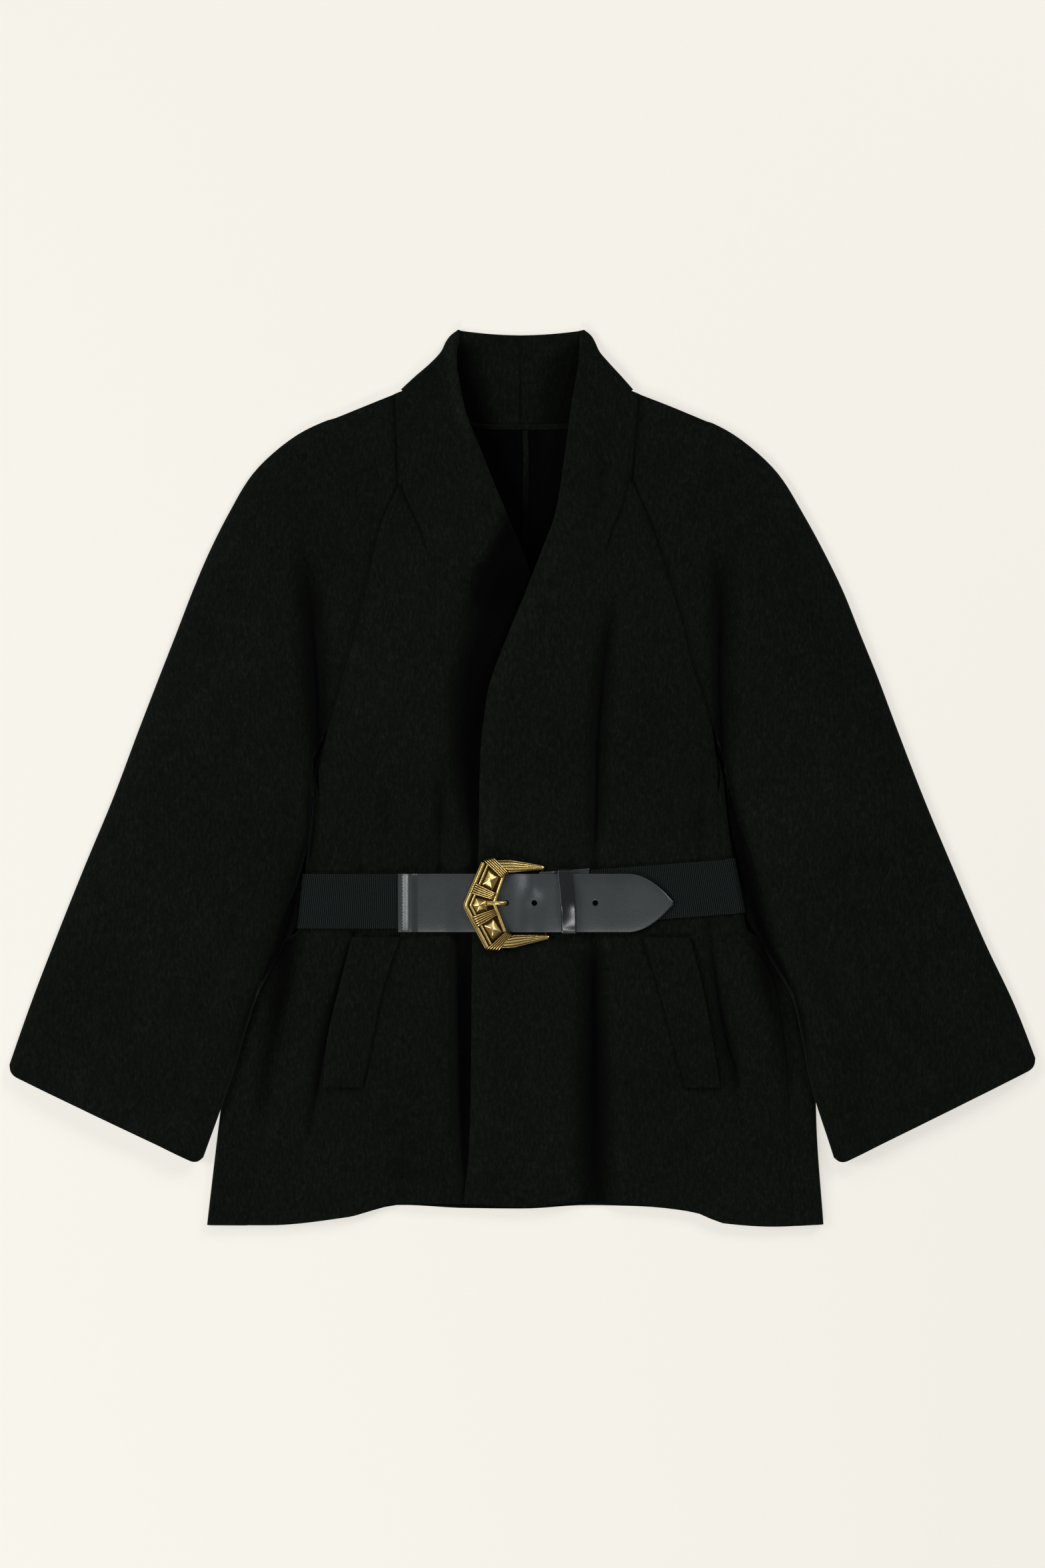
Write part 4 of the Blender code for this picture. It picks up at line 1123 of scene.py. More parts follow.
# open C buckle in cast brass; places lie along the frame, heights stand on the strap
buckle = {
    "outer": ((-35.7, -71.8), (-51.9, -109.8), (-32.5, -146.5)),
    "inner": ((-14.2, -83.4), (-22.6, -107.5), (-13.4, -130.9)),
    "corner": 5.0,
    "innerCorner": 2.0,
    "plateCorner": 6.0,
    "plate": 1.5,
    "railHeight": 4.3,
    "outerRail": (5.0, 2.9),     # inset and width
    "innerRail": (-3.8, 3.9),
    # section of the outer moulding: offset, height, painted shine (painted highlight and shade)
    "moulding": ((0, 0, 0.2), (0.05, 2.4, 0.6), (0.45, 3.3, 1), (0.95, 3.3, 0.9), (1.3, 2.9, 0.2),
                 (1.7, 3.4, 0.7), (2.5, 3.7, 0.85), (3.5, 3.5, 0.8), (4.3, 2.9, 0.4), (4.6, 1.0, 0),
                 (4.6, 0, 0)),
    "strapSpan": (-62, -16),
    "sharpAngle": 48,
}
underBuckle = (strapX > buckle["strapSpan"][0]) & (strapX < buckle["strapSpan"][1])
buckleLow = float(strapZ[underBuckle].max()) + belt["leatherWall"] / 2 + cloth["restGap"]
# each point carries a painted shine: hollows darker as patina and painted shade, crowns brighter as a painted
# highlight
castParts = {"points": [], "faces": [], "shine": []}


def addPoints(points, shine):
    first = len(castParts["points"])
    castParts["points"] += [tuple(point) for point in points]
    castParts["shine"] += list(shine)
    return first


def addBlock(top, shine, base):
    # closed block with a relief on top and a flat underside; base is one height for each row
    rows, columns = len(top), len(top[0])
    first = addPoints((p for line in top for p in line), (s for line in shine for s in line))
    floor = ((p[0], p[1], b) for line, b in zip(top, base) for p in line)
    under = addPoints(floor, [0.0] * (rows * columns))
    faces = castParts["faces"]
    for r in range(rows - 1):
        for c in range(columns - 1):
            a = r * columns + c
            ring = (a, a + 1, a + columns + 1, a + columns)
            faces.append([first + i for i in ring])
            faces.append([under + i for i in reversed(ring)])
    rim = list(range(columns))
    rim += [r * columns + columns - 1 for r in range(1, rows)]
    rim += [(rows - 1) * columns + c for c in range(columns - 2, -1, -1)]
    rim += [r * columns for r in range(rows - 2, 0, -1)]
    for a, b in zip(rim, rim[1:] + rim[:1]):
        faces.append([first + b, first + a, under + a, under + b])


def addRelief(rows, columns, pointAt, floorAt):
    # block whose top and painted shine come from a function of the shares along and across
    made = [[pointAt(v, u) for u in columns] for v in rows]
    top = [[point for point, tone in line] for line in made]
    tones = [[tone for point, tone in line] for line in made]
    addBlock(top, tones, [floorAt(v) for v in rows])


def addLoop(rings, shine, closed):
    # tube through rings of points; closed runs back to its start, otherwise both ends are capped
    count = len(rings[0])
    firsts = [addPoints(ring, tones) for ring, tones in zip(rings, shine)]
    pairs = list(zip(firsts, firsts[1:]))
    if closed:
        pairs.append((firsts[-1], firsts[0]))
    else:
        castParts["faces"].append([firsts[0] + i for i in range(count)])
        castParts["faces"].append([firsts[-1] + i for i in reversed(range(count))])
    for a, b in pairs:
        for i in range(count):
            j = (i + 1) % count
            castParts["faces"].append([a + j, a + i, b + i, b + j])


def unit(vector):
    return vector / np.linalg.norm(vector)


def roundedLine(points, radius, steps=8):
    # bends with their corner eased
    points = [np.array(p, float) for p in points]
    line = [points[0]]
    for before, corner, after in zip(points, points[1:], points[2:]):
        start = corner + unit(before - corner) * radius
        end = corner + unit(after - corner) * radius
        for t in np.linspace(0, 1, steps):
            line.append(start * (1 - t) ** 2 + 2 * corner * t * (1 - t) + end * t * t)
    return line + [points[-1]]


def addRail(points, profile, corner):
    # bar of a given section; offsets run to the left of the line
    line = roundedLine(points, corner)
    steps = [unit(b - a) for a, b in zip(line, line[1:])]
    rings, tones = [], []
    for p, into, out in zip(line, steps[:1] + steps, steps + steps[-1:]):
        along = unit(into + out)
        normal = np.array((-along[1], along[0])) / max(0.4, float(along @ into))
        rings.append([(*(p + normal * a), buckleLow + h) for a, h, s in profile])
        tones.append([s for a, h, s in profile])
    addLoop(rings, tones, False)


def halfRound(start, width, height, steps=7):
    # section from base to base over a round top, with a painted highlight on the crown
    section = [(start, 0.0, 0.0)]
    for a in np.linspace(0.25, math.pi - 0.25, steps):
        across = start + width / 2 - width / 2 * math.cos(a)
        section.append((across, height * (0.45 + 0.55 * math.sin(a)), math.sin(a) ** 2))
    return section + [(start + width, 0.0, 0.0)]


studs = {
    "outlines": (
        ((-29.2, -79.6), (-20.6, -84.0), (-26.4, -95.8), (-34.2, -91.4)),
        ((-40.2, -103.6), (-31.4, -105.4), (-31.4, -113.4), (-39.2, -115.2), (-43.0, -109.3)),
        ((-25.4, -121.8), (-18.6, -132.0), (-25.8, -137.8), (-32.6, -126.6)),
    ),
    "rise": 2.8,
    "sink": 0.4,
    "spread": 1.15,
    # the thin frame round each: size, height, painted shine
    "frame": ((1.12, 0.0, 0), (1.12, 1.3, 0.3), (1.09, 1.6, 0.7), (1.06, 1.3, 0.2), (1.06, 0.0, 0)),
    "size": 0.97,
    "wall": 1.0,
    "pillow": 1.35,
    "steps": 10,
    "topShare": 0.96,
}


def addStud(outline):
    # thin frame and a pillow pyramid inside it
    base = buckleLow + buckle["plate"] - studs["sink"]
    rise = studs["rise"] + buckle["plate"]
    corners = [np.array(p, float) for p in outline]
    middle = sum(corners) / len(corners)
    corners = [middle + (p - middle) * studs["spread"] for p in corners]
    edge = []
    for a, b in zip(corners, corners[1:] + corners[:1]):
        edge += [between(a, b, t) for t in np.linspace(0, 1, 9)[:-1]]
    rings = [[(*(middle + (p - middle) * share), base + height) for share, height, tone in studs["frame"]]
             for p in edge]
    addLoop(rings, [[tone for share, height, tone in studs["frame"]]] * len(edge), True)
    rings = [[(*(middle + (p - middle) * studs["size"]), base) for p in edge]]
    # painted shade at the pillow's foot, painted highlight growing towards its top
    tones = [[0.1] * len(edge)]
    for t in np.linspace(0.0, studs["topShare"], studs["steps"]):
        height = studs["wall"] + (rise - studs["wall"]) * (1 - (1 - t) ** studs["pillow"])
        rings.append([(*(middle + (p - middle) * studs["size"] * (1 - t)), base + height) for p in edge])
        tones.append([0.8 + 0.2 * t] * len(edge))
    addLoop(rings, tones, False)


bands = {
    # wrapped bands: outer end from and to, inner end to and from
    "places": (
        ((-34.0, -70.6), (-24.2, -68.2), (-11.6, -81.0), (-17.6, -86.4)),
        ((-40.6, -89.6), (-44.6, -98.9), (-25.4, -104.6), (-21.4, -99.2)),
        ((-43.6, -118.6), (-39.2, -128.6), (-21.2, -117.2), (-24.0, -112.0)),
        ((-31.8, -147.2), (-19.6, -148.0), (-9.2, -134.6), (-13.8, -131.0)),
    ),
    "strands": 5,
    "overOuter": 0.7,
    "overInner": 0.5,
    "low": 2.2,
    "arch": 3.1,
    "ripple": 1.15,
}


def addBand(outerFrom, outerTo, innerTo, innerFrom):
    # strands wrapped over the frame, side by side
    def pointAt(v, u):
        strand = abs(math.sin(math.pi * bands["strands"] * u))
        start = np.array(outerFrom) * (1 - u) + np.array(outerTo) * u
        end = np.array(innerFrom) * (1 - u) + np.array(innerTo) * u
        along = unit(end - start)
        start = start - along * bands["overOuter"] * strand
        end = end + along * bands["overInner"] * strand
        arch = (1 - abs(2 * v - 1) ** 5) ** 0.5
        height = bands["low"] + bands["arch"] * arch + bands["ripple"] * strand ** 0.8
        # painted shade between the strands and towards their ends, painted highlight on their crowns
        tone = (0.05 + 0.95 * strand) * (0.4 + 0.6 * arch)
        return (*between(start, end, v), buckleLow + height), tone

    across = np.linspace(0, 1, bands["strands"] * 8 + 1)
    addRelief(np.linspace(0, 1, 17), across, pointAt, lambda v: buckleLow)


arms = {
    # root above, root below, tip
    "places": (
        ((-25.0, -68.2), (-13.0, -82.0), (19.6, -77.0)),
        ((-10.4, -134.4), (-20.6, -147.9), (24.0, -136.2)),
    ),
    "drop": 2.2,               # how far the tip drops to the side of the strap
    "dropRun": (0.1, 1),
    "half": 6.6,
    "narrow": 0.74,
    "tip": (0.93, 0.07),       # where the round end starts, and its length
    "straighten": (0, 0.25),
    "low": 1.2,
    "crown": 4.0,
    "flutes": 4,
    "flutePower": 0.7,
}


def addArm(rootAbove, rootBelow, tip):
    above, below, tip = (np.array(p, float) for p in (rootAbove, rootBelow, tip))
    middle = (above + below) / 2
    tipStart, tipLength = arms["tip"]

    def floorAt(t):
        return buckleLow - arms["drop"] * ramp(t, *arms["dropRun"])

    def pointAt(t, s):
        ended = max(0.0, (t - tipStart) / tipLength)
        taper = (1 - arms["narrow"] * t) * math.sqrt(max(0.0, 1 - ended ** 2))
        upright = ramp(t, *arms["straighten"])
        lean = np.array((0.0, 1.0)) * upright + unit(above - below) * (1 - upright)
        flute = abs(math.cos(math.pi * arms["flutes"] * (s + 1) / 2)) ** arms["flutePower"]
        flute = flute if t < tipStart else 1.0
        p = between(middle, tip, t) + lean * arms["half"] * taper * s
        crown = math.sqrt(max(0.0, 1 - 0.86 * s * s))
        height = (arms["low"] + arms["crown"] * taper) * crown + taper * flute
        # painted shade in the grooves between the flutes
        return (*p, floorAt(t) + height * min(1.0, taper * 4)), 0.05 + 0.95 * flute

    along = np.sin(np.linspace(0, math.pi / 2, 30))
    addRelief(along, np.linspace(-1, 1, arms["flutes"] * 8 + 1), pointAt, floorAt)


def addPin(path, radii, shine, sides=14):
    rings = []
    for i, (p, r) in enumerate(zip(path, radii)):
        along = Vector(path[min(i + 1, len(path) - 1)]) - Vector(path[max(i - 1, 0)])
        turn = along.to_track_quat("Z", "Y")
        rings.append([tuple(Vector(p) + turn @ Vector((r * math.cos(a), r * math.sin(a), 0)))
                      for a in np.linspace(0, 2 * math.pi, sides + 1)[:-1]])
    addLoop(rings, [[shine] * sides] * len(rings), False)


prong = {
    "rootX": -30.4,
    "rootLength": 9.2,
    "width": 6.0,
    "narrow": 0.32,
    "high": 4.9,
    "fall": 0.7,
    "flute": 0.4,
    # the round pin: x, height above the strap, radius
    "pin": ((-23.4, 3.0, 2.0), (-20.6, 3.0, 2.0), (-18.8, 2.7, 2.1), (-16.8, 1.9, 2.15), (-15.2, 0.6, 2.1)),
    # its end in the hole: x, height from the strap's middle, radius
    "pinEnd": ((-14.5, 0.4, 1.9), (-14.2, -0.6, 1.6), (-14.2, -1.0, 0.6)),
}


def addProng():
    # fluted root, then the round pin down into its hole
    y = belt["strapY"]

    def pointAt(t, s):
        half = prong["width"] / 2 * (1 - prong["narrow"] * t)
        flute = abs(math.cos(1.5 * math.pi * s)) ** arms["flutePower"]
        height = (prong["high"] - prong["fall"] * t) * math.sqrt(1 - 0.75 * s * s) + prong["flute"] * flute
        point = (prong["rootX"] + prong["rootLength"] * t, y + half * s, buckleLow + height)
        # painted shade in the grooves between the flutes
        return point, 0.25 + 0.75 * flute

    addRelief(np.linspace(0, 1, 9), np.linspace(-1, 1, 25), pointAt, lambda t: buckleLow + 0.2)
    deep = float(np.interp(belt["holes"][0], strapX, strapZ))
    path = [(x, y, buckleLow + z) for x, z, r in prong["pin"]]
    path += [(x, y, deep + z) for x, z, r in prong["pinEnd"]]
    # the round pin is coloured as a crown all round: painted highlight
    addPin(path, [r for x, z, r in prong["pin"] + prong["pinEnd"]], 1.0)


def makeBuckle():
    plateTop = buckleLow + buckle["plate"]
    outer, inner = (roundedLine(buckle[name], buckle["plateCorner"], 9) for name in ("outer", "inner"))
    plate = [[(*o, plateTop), (*((o + i) / 2), plateTop), (*i, plateTop)] for o, i in zip(outer, inner)]
    # the plate is coloured as a hollow: patina and painted shade
    addBlock(plate, [[0.0] * 3] * len(plate), [buckleLow] * len(plate))
    high = buckle["railHeight"]
    addRail(buckle["outer"], buckle["moulding"], buckle["corner"])
    addRail(buckle["outer"], halfRound(*buckle["outerRail"], high), buckle["corner"])
    addRail(buckle["inner"], halfRound(*buckle["innerRail"], high), buckle["innerCorner"])
    for outline in studs["outlines"]:
        addStud(outline)
    for place in bands["places"]:
        addBand(*place)
    for place in arms["places"]:
        addArm(*place)
    addProng()
    # the bar is coloured as a hollow too: patina and painted shade
    addPin([(*belt["barTop"], barZ), (*belt["barBottom"], barZ)], [belt["barRadius"]] * 2, 0.0)
    shape = bmesh.new()
    tone = shape.verts.layers.float.new("shine")
    verts = []
    for point, value in zip(castParts["points"], castParts["shine"]):
        vert = shape.verts.new(Vector(point) * mm)
        vert[tone] = value
        verts.append(vert)
    for ring in castParts["faces"]:
        shape.faces.new([verts[i] for i in ring])
    bmesh.ops.recalc_face_normals(shape, faces=shape.faces)
    mesh = bpy.data.meshes.new("beltBuckleCast")
    shape.to_mesh(mesh)
    shape.free()
    mesh.shade_smooth()
    mesh.set_sharp_from_angle(angle=math.radians(buckle["sharpAngle"]))
    return linked("beltBuckleCast", mesh)


buckleCast = makeBuckle()
print("buckle cast:", len(buckleCast.data.polygons), "faces")


# finishes
def finishOf(name):
    made = bpy.data.materials.new(name)
    made.use_nodes = True
    return made, made.node_tree, made.node_tree.nodes["Principled BSDF"]


def setInputs(node, values):
    for name, value in values.items():
        node.inputs[name].default_value = value


def objectCoords(tree):
    return tree.nodes.new("ShaderNodeTexCoord").outputs["Object"]


def attributeOf(tree, name, output="Fac"):
    node = tree.nodes.new("ShaderNodeAttribute")
    node.attribute_name = name
    return node.outputs[output]


def noiseAt(tree, coords, scale, detail=3.0, rough=0.55, spread=(1, 1, 1)):
    mapping = tree.nodes.new("ShaderNodeMapping")
    setInputs(mapping, {"Scale": spread})
    noise = tree.nodes.new("ShaderNodeTexNoise")
    setInputs(noise, {"Scale": scale, "Detail": detail, "Roughness": rough})
    tree.links.new(coords, mapping.inputs["Vector"])
    tree.links.new(mapping.outputs["Vector"], noise.inputs["Vector"])
    return noise.outputs["Fac"]


def calc(tree, kind, *values):
    node = tree.nodes.new("ShaderNodeMath")
    node.operation = kind
    for socket, value in zip(node.inputs, values):
        if isinstance(value, (int, float)):
            socket.default_value = value
        else:
            tree.links.new(value, socket)
    return node.outputs["Value"]


def rampOf(tree, fac, *stops):
    node = tree.nodes.new("ShaderNodeValToRGB")
    band = node.color_ramp
    while len(band.elements) < len(stops):
        band.elements.new(0.5)
    for element, (place, colour) in zip(band.elements, stops):
        element.position = place
        element.color = (*colour, 1)
    tree.links.new(fac, node.inputs["Fac"])
    return node.outputs["Color"]


def rangeTo(tree, value, low, high, target):
    node = tree.nodes.new("ShaderNodeMapRange")
    setInputs(node, {"To Min": low, "To Max": high})
    tree.links.new(value, node.inputs["Value"])
    tree.links.new(node.outputs["Result"], target)


def bumpOf(tree, shader, height, distance, strength):
    bump = tree.nodes.new("ShaderNodeBump")
    setInputs(bump, {"Distance": distance, "Strength": strength})
    tree.links.new(height, bump.inputs["Height"])
    tree.links.new(bump.outputs["Normal"], shader.inputs["Normal"])


wool = {
    "deep": (0.0018, 0.0023, 0.0016),
    "face": (0.0037, 0.0046, 0.0033),
    "tip": (0.0096, 0.0110, 0.0087),
    "stops": (0.32, 0.5, 0.72),
    "fibreSpread": (1150, 330, 1150),
    "fleckSpread": (430, 150, 430),
    "cloudScale": 45.0,
    "shares": (0.45, 0.43, 0.12),    # of fibre, fleck and cloud in the colour
    "patchScale": 6.5,               # wide uneven patches, as the nap lies differently
    "patchLow": 0.72,
    "fleckBump": 0.8,
    "napDistance": 0.0005,
    "napStrength": 0.55,
    "sheen": 0.05,
    "sheenRoughness": 0.55,
    "sheenTint": (0.62, 0.68, 0.66, 1),
}


def woolFinish():
    made, tree, shader = finishOf("milled black wool")
    coords = objectCoords(tree)
    fibre = noiseAt(tree, coords, 1.0, 4, 0.65, wool["fibreSpread"])
    fleck = noiseAt(tree, coords, 1.0, 3, 0.6, wool["fleckSpread"])
    cloud = noiseAt(tree, coords, wool["cloudScale"], 3, 0.6)
    parts = [calc(tree, "MULTIPLY", part, share) for part, share in zip((fibre, fleck, cloud), wool["shares"])]
    blend = calc(tree, "ADD", calc(tree, "ADD", parts[0], parts[1]), parts[2])
    colour = rampOf(tree, blend, *zip(wool["stops"], (wool["deep"], wool["face"], wool["tip"])))
    # painted shade and painted highlights: the colour is darkened by the shade attribute deep in the neck, in
    # the folds, seams and valleys, and lightened where that attribute is below 0
    lit = calc(tree, "SUBTRACT", 1.0, attributeOf(tree, "shade"))
    patch = noiseAt(tree, coords, wool["patchScale"], 2, 0.5)
    level = calc(tree, "ADD", calc(tree, "MULTIPLY", patch, 2 - 2 * wool["patchLow"]), wool["patchLow"])
    dim = tree.nodes.new("ShaderNodeVectorMath")
    dim.operation = "SCALE"
    tree.links.new(colour, dim.inputs["Vector"])
    tree.links.new(calc(tree, "MULTIPLY", lit, level), dim.inputs["Scale"])
    tree.links.new(dim.outputs["Vector"], shader.inputs["Base Color"])
    setInputs(shader, {"Roughness": 1.0, "Specular IOR Level": 0.0, "Sheen Weight": wool["sheen"],
                       "Sheen Roughness": wool["sheenRoughness"], "Sheen Tint": wool["sheenTint"]})
    height = calc(tree, "ADD", fibre, calc(tree, "MULTIPLY", fleck, wool["fleckBump"]))
    bumpOf(tree, shader, height, wool["napDistance"], wool["napStrength"])
    return made


elasticWeave = {
    # dark colour for the hollows of the weave, light for the raised thread: partly the weave's own pattern,
    # partly painted shade
    "deep": (0.0018, 0.0028, 0.0026),
    "thread": (0.0175, 0.0245, 0.0228),
    "ribPitch": 0.0017,
    "dotsAcross": 28.0,
    "wanderScale": 240,
    "wander": 0.35,
    "fineScale": 1500,
    "rib": (0.5, 0.5),         # gain and lift
    "dot": (0.3, 0.7),
    "bumpDistance": 0.0004,
    "bumpStrength": 0.7,
}


def elasticFinish():
    made, tree, shader = finishOf("ribbed elastic")
    split = tree.nodes.new("ShaderNodeSeparateXYZ")
    tree.links.new(attributeOf(tree, "bandRun", "Vector"), split.inputs["Vector"])
    coords = objectCoords(tree)
    wander = noiseAt(tree, coords, elasticWeave["wanderScale"], 2)
    count = calc(tree, "DIVIDE", split.outputs["X"], elasticWeave["ribPitch"])
    count = calc(tree, "ADD", count, calc(tree, "MULTIPLY", wander, elasticWeave["wander"]))
    rib = calc(tree, "SINE", calc(tree, "MULTIPLY", count, 2 * math.pi))
    # every other rib has its dots shifted by half
    odd = calc(tree, "MULTIPLY", calc(tree, "FLOOR", count), math.pi)
    rows = calc(tree, "MULTIPLY", split.outputs["Y"], elasticWeave["dotsAcross"] * 2 * math.pi)
    dot = calc(tree, "SINE", calc(tree, "ADD", rows, odd))
    ribUp = calc(tree, "MULTIPLY_ADD", rib, *elasticWeave["rib"])
    dotUp = calc(tree, "MULTIPLY_ADD", dot, *elasticWeave["dot"])
    height = calc(tree, "MULTIPLY", ribUp, dotUp)
    fine = noiseAt(tree, coords, elasticWeave["fineScale"], 2)
    # painted shade: the hollows between ribs and dots take the dark colour and the raised thread the light one,
    # which is also the weave's own pattern
    shade = calc(tree, "MULTIPLY", height, calc(tree, "ADD", fine, 0.5))
    colour = rampOf(tree, shade, (0.10, elasticWeave["deep"]), (0.85, elasticWeave["thread"]))
    tree.links.new(colour, shader.inputs["Base Color"])
    setInputs(shader, {"Roughness": 0.85, "Specular IOR Level": 0.03})
    bumpOf(tree, shader, height, elasticWeave["bumpDistance"], elasticWeave["bumpStrength"])
    return made


leather = {
    # name, dark and light tone, least and greatest roughness, how much the grain shows
    "strap": ("satin slate leather", (0.0205, 0.0245, 0.0255), (0.0305, 0.0365, 0.038), 0.26, 0.36, 0.4),
    # the keeper is the strap's leather in a darker copy, as painted shade; it is also smoother, with less grain
    "keeper": ("polished dark leather", (0.006, 0.0075, 0.008), (0.010, 0.012, 0.013), 0.16, 0.22, 0.1),
    "grain": 900.0,
    "cloudScale": 22,
    "poreScale": 420,
    "bumpDistance": 0.00006,
}


def leatherFinish(kind):
    name, dark, light, low, high, shown = leather[kind]
    made, tree, shader = finishOf(name)
    coords = objectCoords(tree)
    cloud = noiseAt(tree, coords, leather["cloudScale"], 4)
    tree.links.new(rampOf(tree, cloud, (0.3, dark), (0.7, light)), shader.inputs["Base Color"])
    cells = tree.nodes.new("ShaderNodeTexVoronoi")
    setInputs(cells, {"Scale": leather["grain"]})
    tree.links.new(coords, cells.inputs["Vector"])
    pores = noiseAt(tree, coords, leather["poreScale"], 3)
    rangeTo(tree, pores, low, high, shader.inputs["Roughness"])
    setInputs(shader, {"Specular IOR Level": 0.5})
    grain = calc(tree, "ADD", cells.outputs["Distance"], pores)
    bumpOf(tree, shader, grain, leather["bumpDistance"], shown)
    return made


gold = {
    # colours along the painted shine: hollows dark as patina and painted shade, crowns bright as a painted
    # highlight
    "recess": (0.035, 0.02, 0.006),
    "worn": (0.27, 0.185, 0.052),
    "crown": (0.66, 0.49, 0.19),
    "tarnishScale": 260,
    "tarnish": 0.3,
    "roughness": (0.56, 0.3),    # in the recesses and on the crowns
    "bumpDistance": 0.0001,
    "bumpStrength": 0.25,
}


def goldFinish():
    made, tree, shader = finishOf("antique gold plate")
    tarnish = noiseAt(tree, objectCoords(tree), gold["tarnishScale"], 4)
    tone = calc(tree, "ADD", attributeOf(tree, "shine"), calc(tree, "MULTIPLY", tarnish, gold["tarnish"]))
    colour = rampOf(tree, tone, (0.18, gold["recess"]), (0.62, gold["worn"]), (1.0, gold["crown"]))
    tree.links.new(colour, shader.inputs["Base Color"])
    setInputs(shader, {"Metallic": 1.0})
    rangeTo(tree, tone, *gold["roughness"], shader.inputs["Roughness"])
    bumpOf(tree, shader, tarnish, gold["bumpDistance"], gold["bumpStrength"])
    return made


thread = {"dark": (0.002, 0.002, 0.002), "light": (0.006, 0.006, 0.006), "twistScale": 2400, "roughness": 0.6}


def threadFinish():
    made, tree, shader = finishOf("black sewing thread")
    twist = noiseAt(tree, objectCoords(tree), thread["twistScale"], 2)
    colour = rampOf(tree, twist, (0.35, thread["dark"]), (0.7, thread["light"]))
    tree.links.new(colour, shader.inputs["Base Color"])
    setInputs(shader, {"Roughness": thread["roughness"]})
    return made


finishes = {
    "wool": woolFinish(),
    "elastic": elasticFinish(),
    "leather": leatherFinish("strap"),
    "keeper": leatherFinish("keeper"),
    "gold": goldFinish(),
    "thread": threadFinish(),
}

# stitches: flat beads in a row along a line, made by nodes
sewing = {
    "jointStitches": {"on": strap, "x": -103.2, "y": (-83.6, -131.0)},
    "chapeStitches": {"on": chape, "x": 55.4, "y": (-78.6, -126.0)},
}
stitch = {"count": 19, "size": (0.00042, 0.00095, 0.00022), "linePoints": 24, "lift": 0.05}


def stitchTree():
    tree = bpy.data.node_groups.new("stitchRow", "GeometryNodeTree")
    inputs = {"Line": "Geometry", "Count": "Int", "Stitch": "Vector", "Thread": "Material"}
    for name, kind in inputs.items():
        tree.interface.new_socket(name, in_out="INPUT", socket_type="NodeSocket" + kind)
    tree.interface.new_socket("Stitches", in_out="OUTPUT", socket_type="NodeSocketGeometry")
    given, made = (tree.nodes.new(kind) for kind in ("NodeGroupInput", "NodeGroupOutput"))
    curve, spaced, bead, place, real, finish = (
        tree.nodes.new("GeometryNode" + kind) for kind in
        ("MeshToCurve", "CurveToPoints", "MeshUVSphere", "InstanceOnPoints", "RealizeInstances", "SetMaterial"))
    spaced.mode = "COUNT"
    setInputs(bead, {"Segments": 8, "Rings": 6, "Radius": 1.0})
    for source, output, target, entry in (
            (given, "Line", curve, "Mesh"),
            (curve, "Curve", spaced, "Curve"),
            (given, "Count", spaced, "Count"),
            (spaced, "Points", place, "Points"),
            (bead, "Mesh", place, "Instance"),
            (given, "Stitch", place, "Scale"),
            (place, "Instances", real, "Geometry"),
            (real, "Geometry", finish, "Geometry"),
            (given, "Thread", finish, "Material"),
            (finish, "Geometry", made, "Stitches")):
        tree.links.new(source.outputs[output], target.inputs[entry])
    return tree


def makeStitches(name, row, tree):
    trees = treeOf(row["on"])
    ys = np.linspace(*row["y"], stitch["linePoints"])
    points = [(row["x"] * mm, y * mm, (topUnder(row["x"], y, trees) + stitch["lift"]) * mm) for y in ys]
    mesh = bpy.data.meshes.new(name)
    mesh.from_pydata(points, [(i, i + 1) for i in range(len(points) - 1)], [])
    piece = linked(name, mesh)
    sew = piece.modifiers.new("sew", "NODES")
    sew.node_group = tree
    sockets = {item.name: item.identifier for item in tree.interface.items_tree if item.in_out == "INPUT"}
    sew[sockets["Count"]] = stitch["count"]
    sew[sockets["Stitch"]] = stitch["size"]
    sew[sockets["Thread"]] = finishes["thread"]
    bake(piece)
    return piece


stitchNodes = stitchTree()
stitches = [makeStitches(name, row, stitchNodes) for name, row in sewing.items()]
print("stitches sewn:", [len(piece.data.polygons) for piece in stitches])

# painted shade in the valleys between sleeve and body, down past the belt: x, y, half width, strength
valleys = {
    "left": ((-191, 220, 10, 0), (-186, 180, 11, 0.2), (-182, 142, 11, 0.45), (-177, 89, 10, 0.7),
             (-176, 36, 8, 0.85), (-179, 8, 5, 0.9), (-182, -45, 4, 0.9), (-189, -75, 6, 0.9),
             (-197, -110, 9, 0.9), (-202, -135, 11, 0.9), (-209, -189, 10, 0.8), (-218, -235, 8, 0.6),
             (-226, -280, 7, 0.3), (-231, -310, 6, 0)),
    "right": ((167, 220, 7, 0), (168, 190, 7, 0.1), (169, 142, 6, 0.3), (169, 89, 5, 0.65),
              (170, 54, 4.5, 0.9), (173, 15, 4.5, 0.9), (179, -15, 4.5, 0.9), (187.5, -51, 6, 0.9),
              (196, -90, 9, 0.9), (203, -130, 11, 0.9), (213, -175, 10, 0.75), (222, -220, 8, 0.5),
              (226, -250, 6, 0.3), (229, -285, 5, 0)),
}
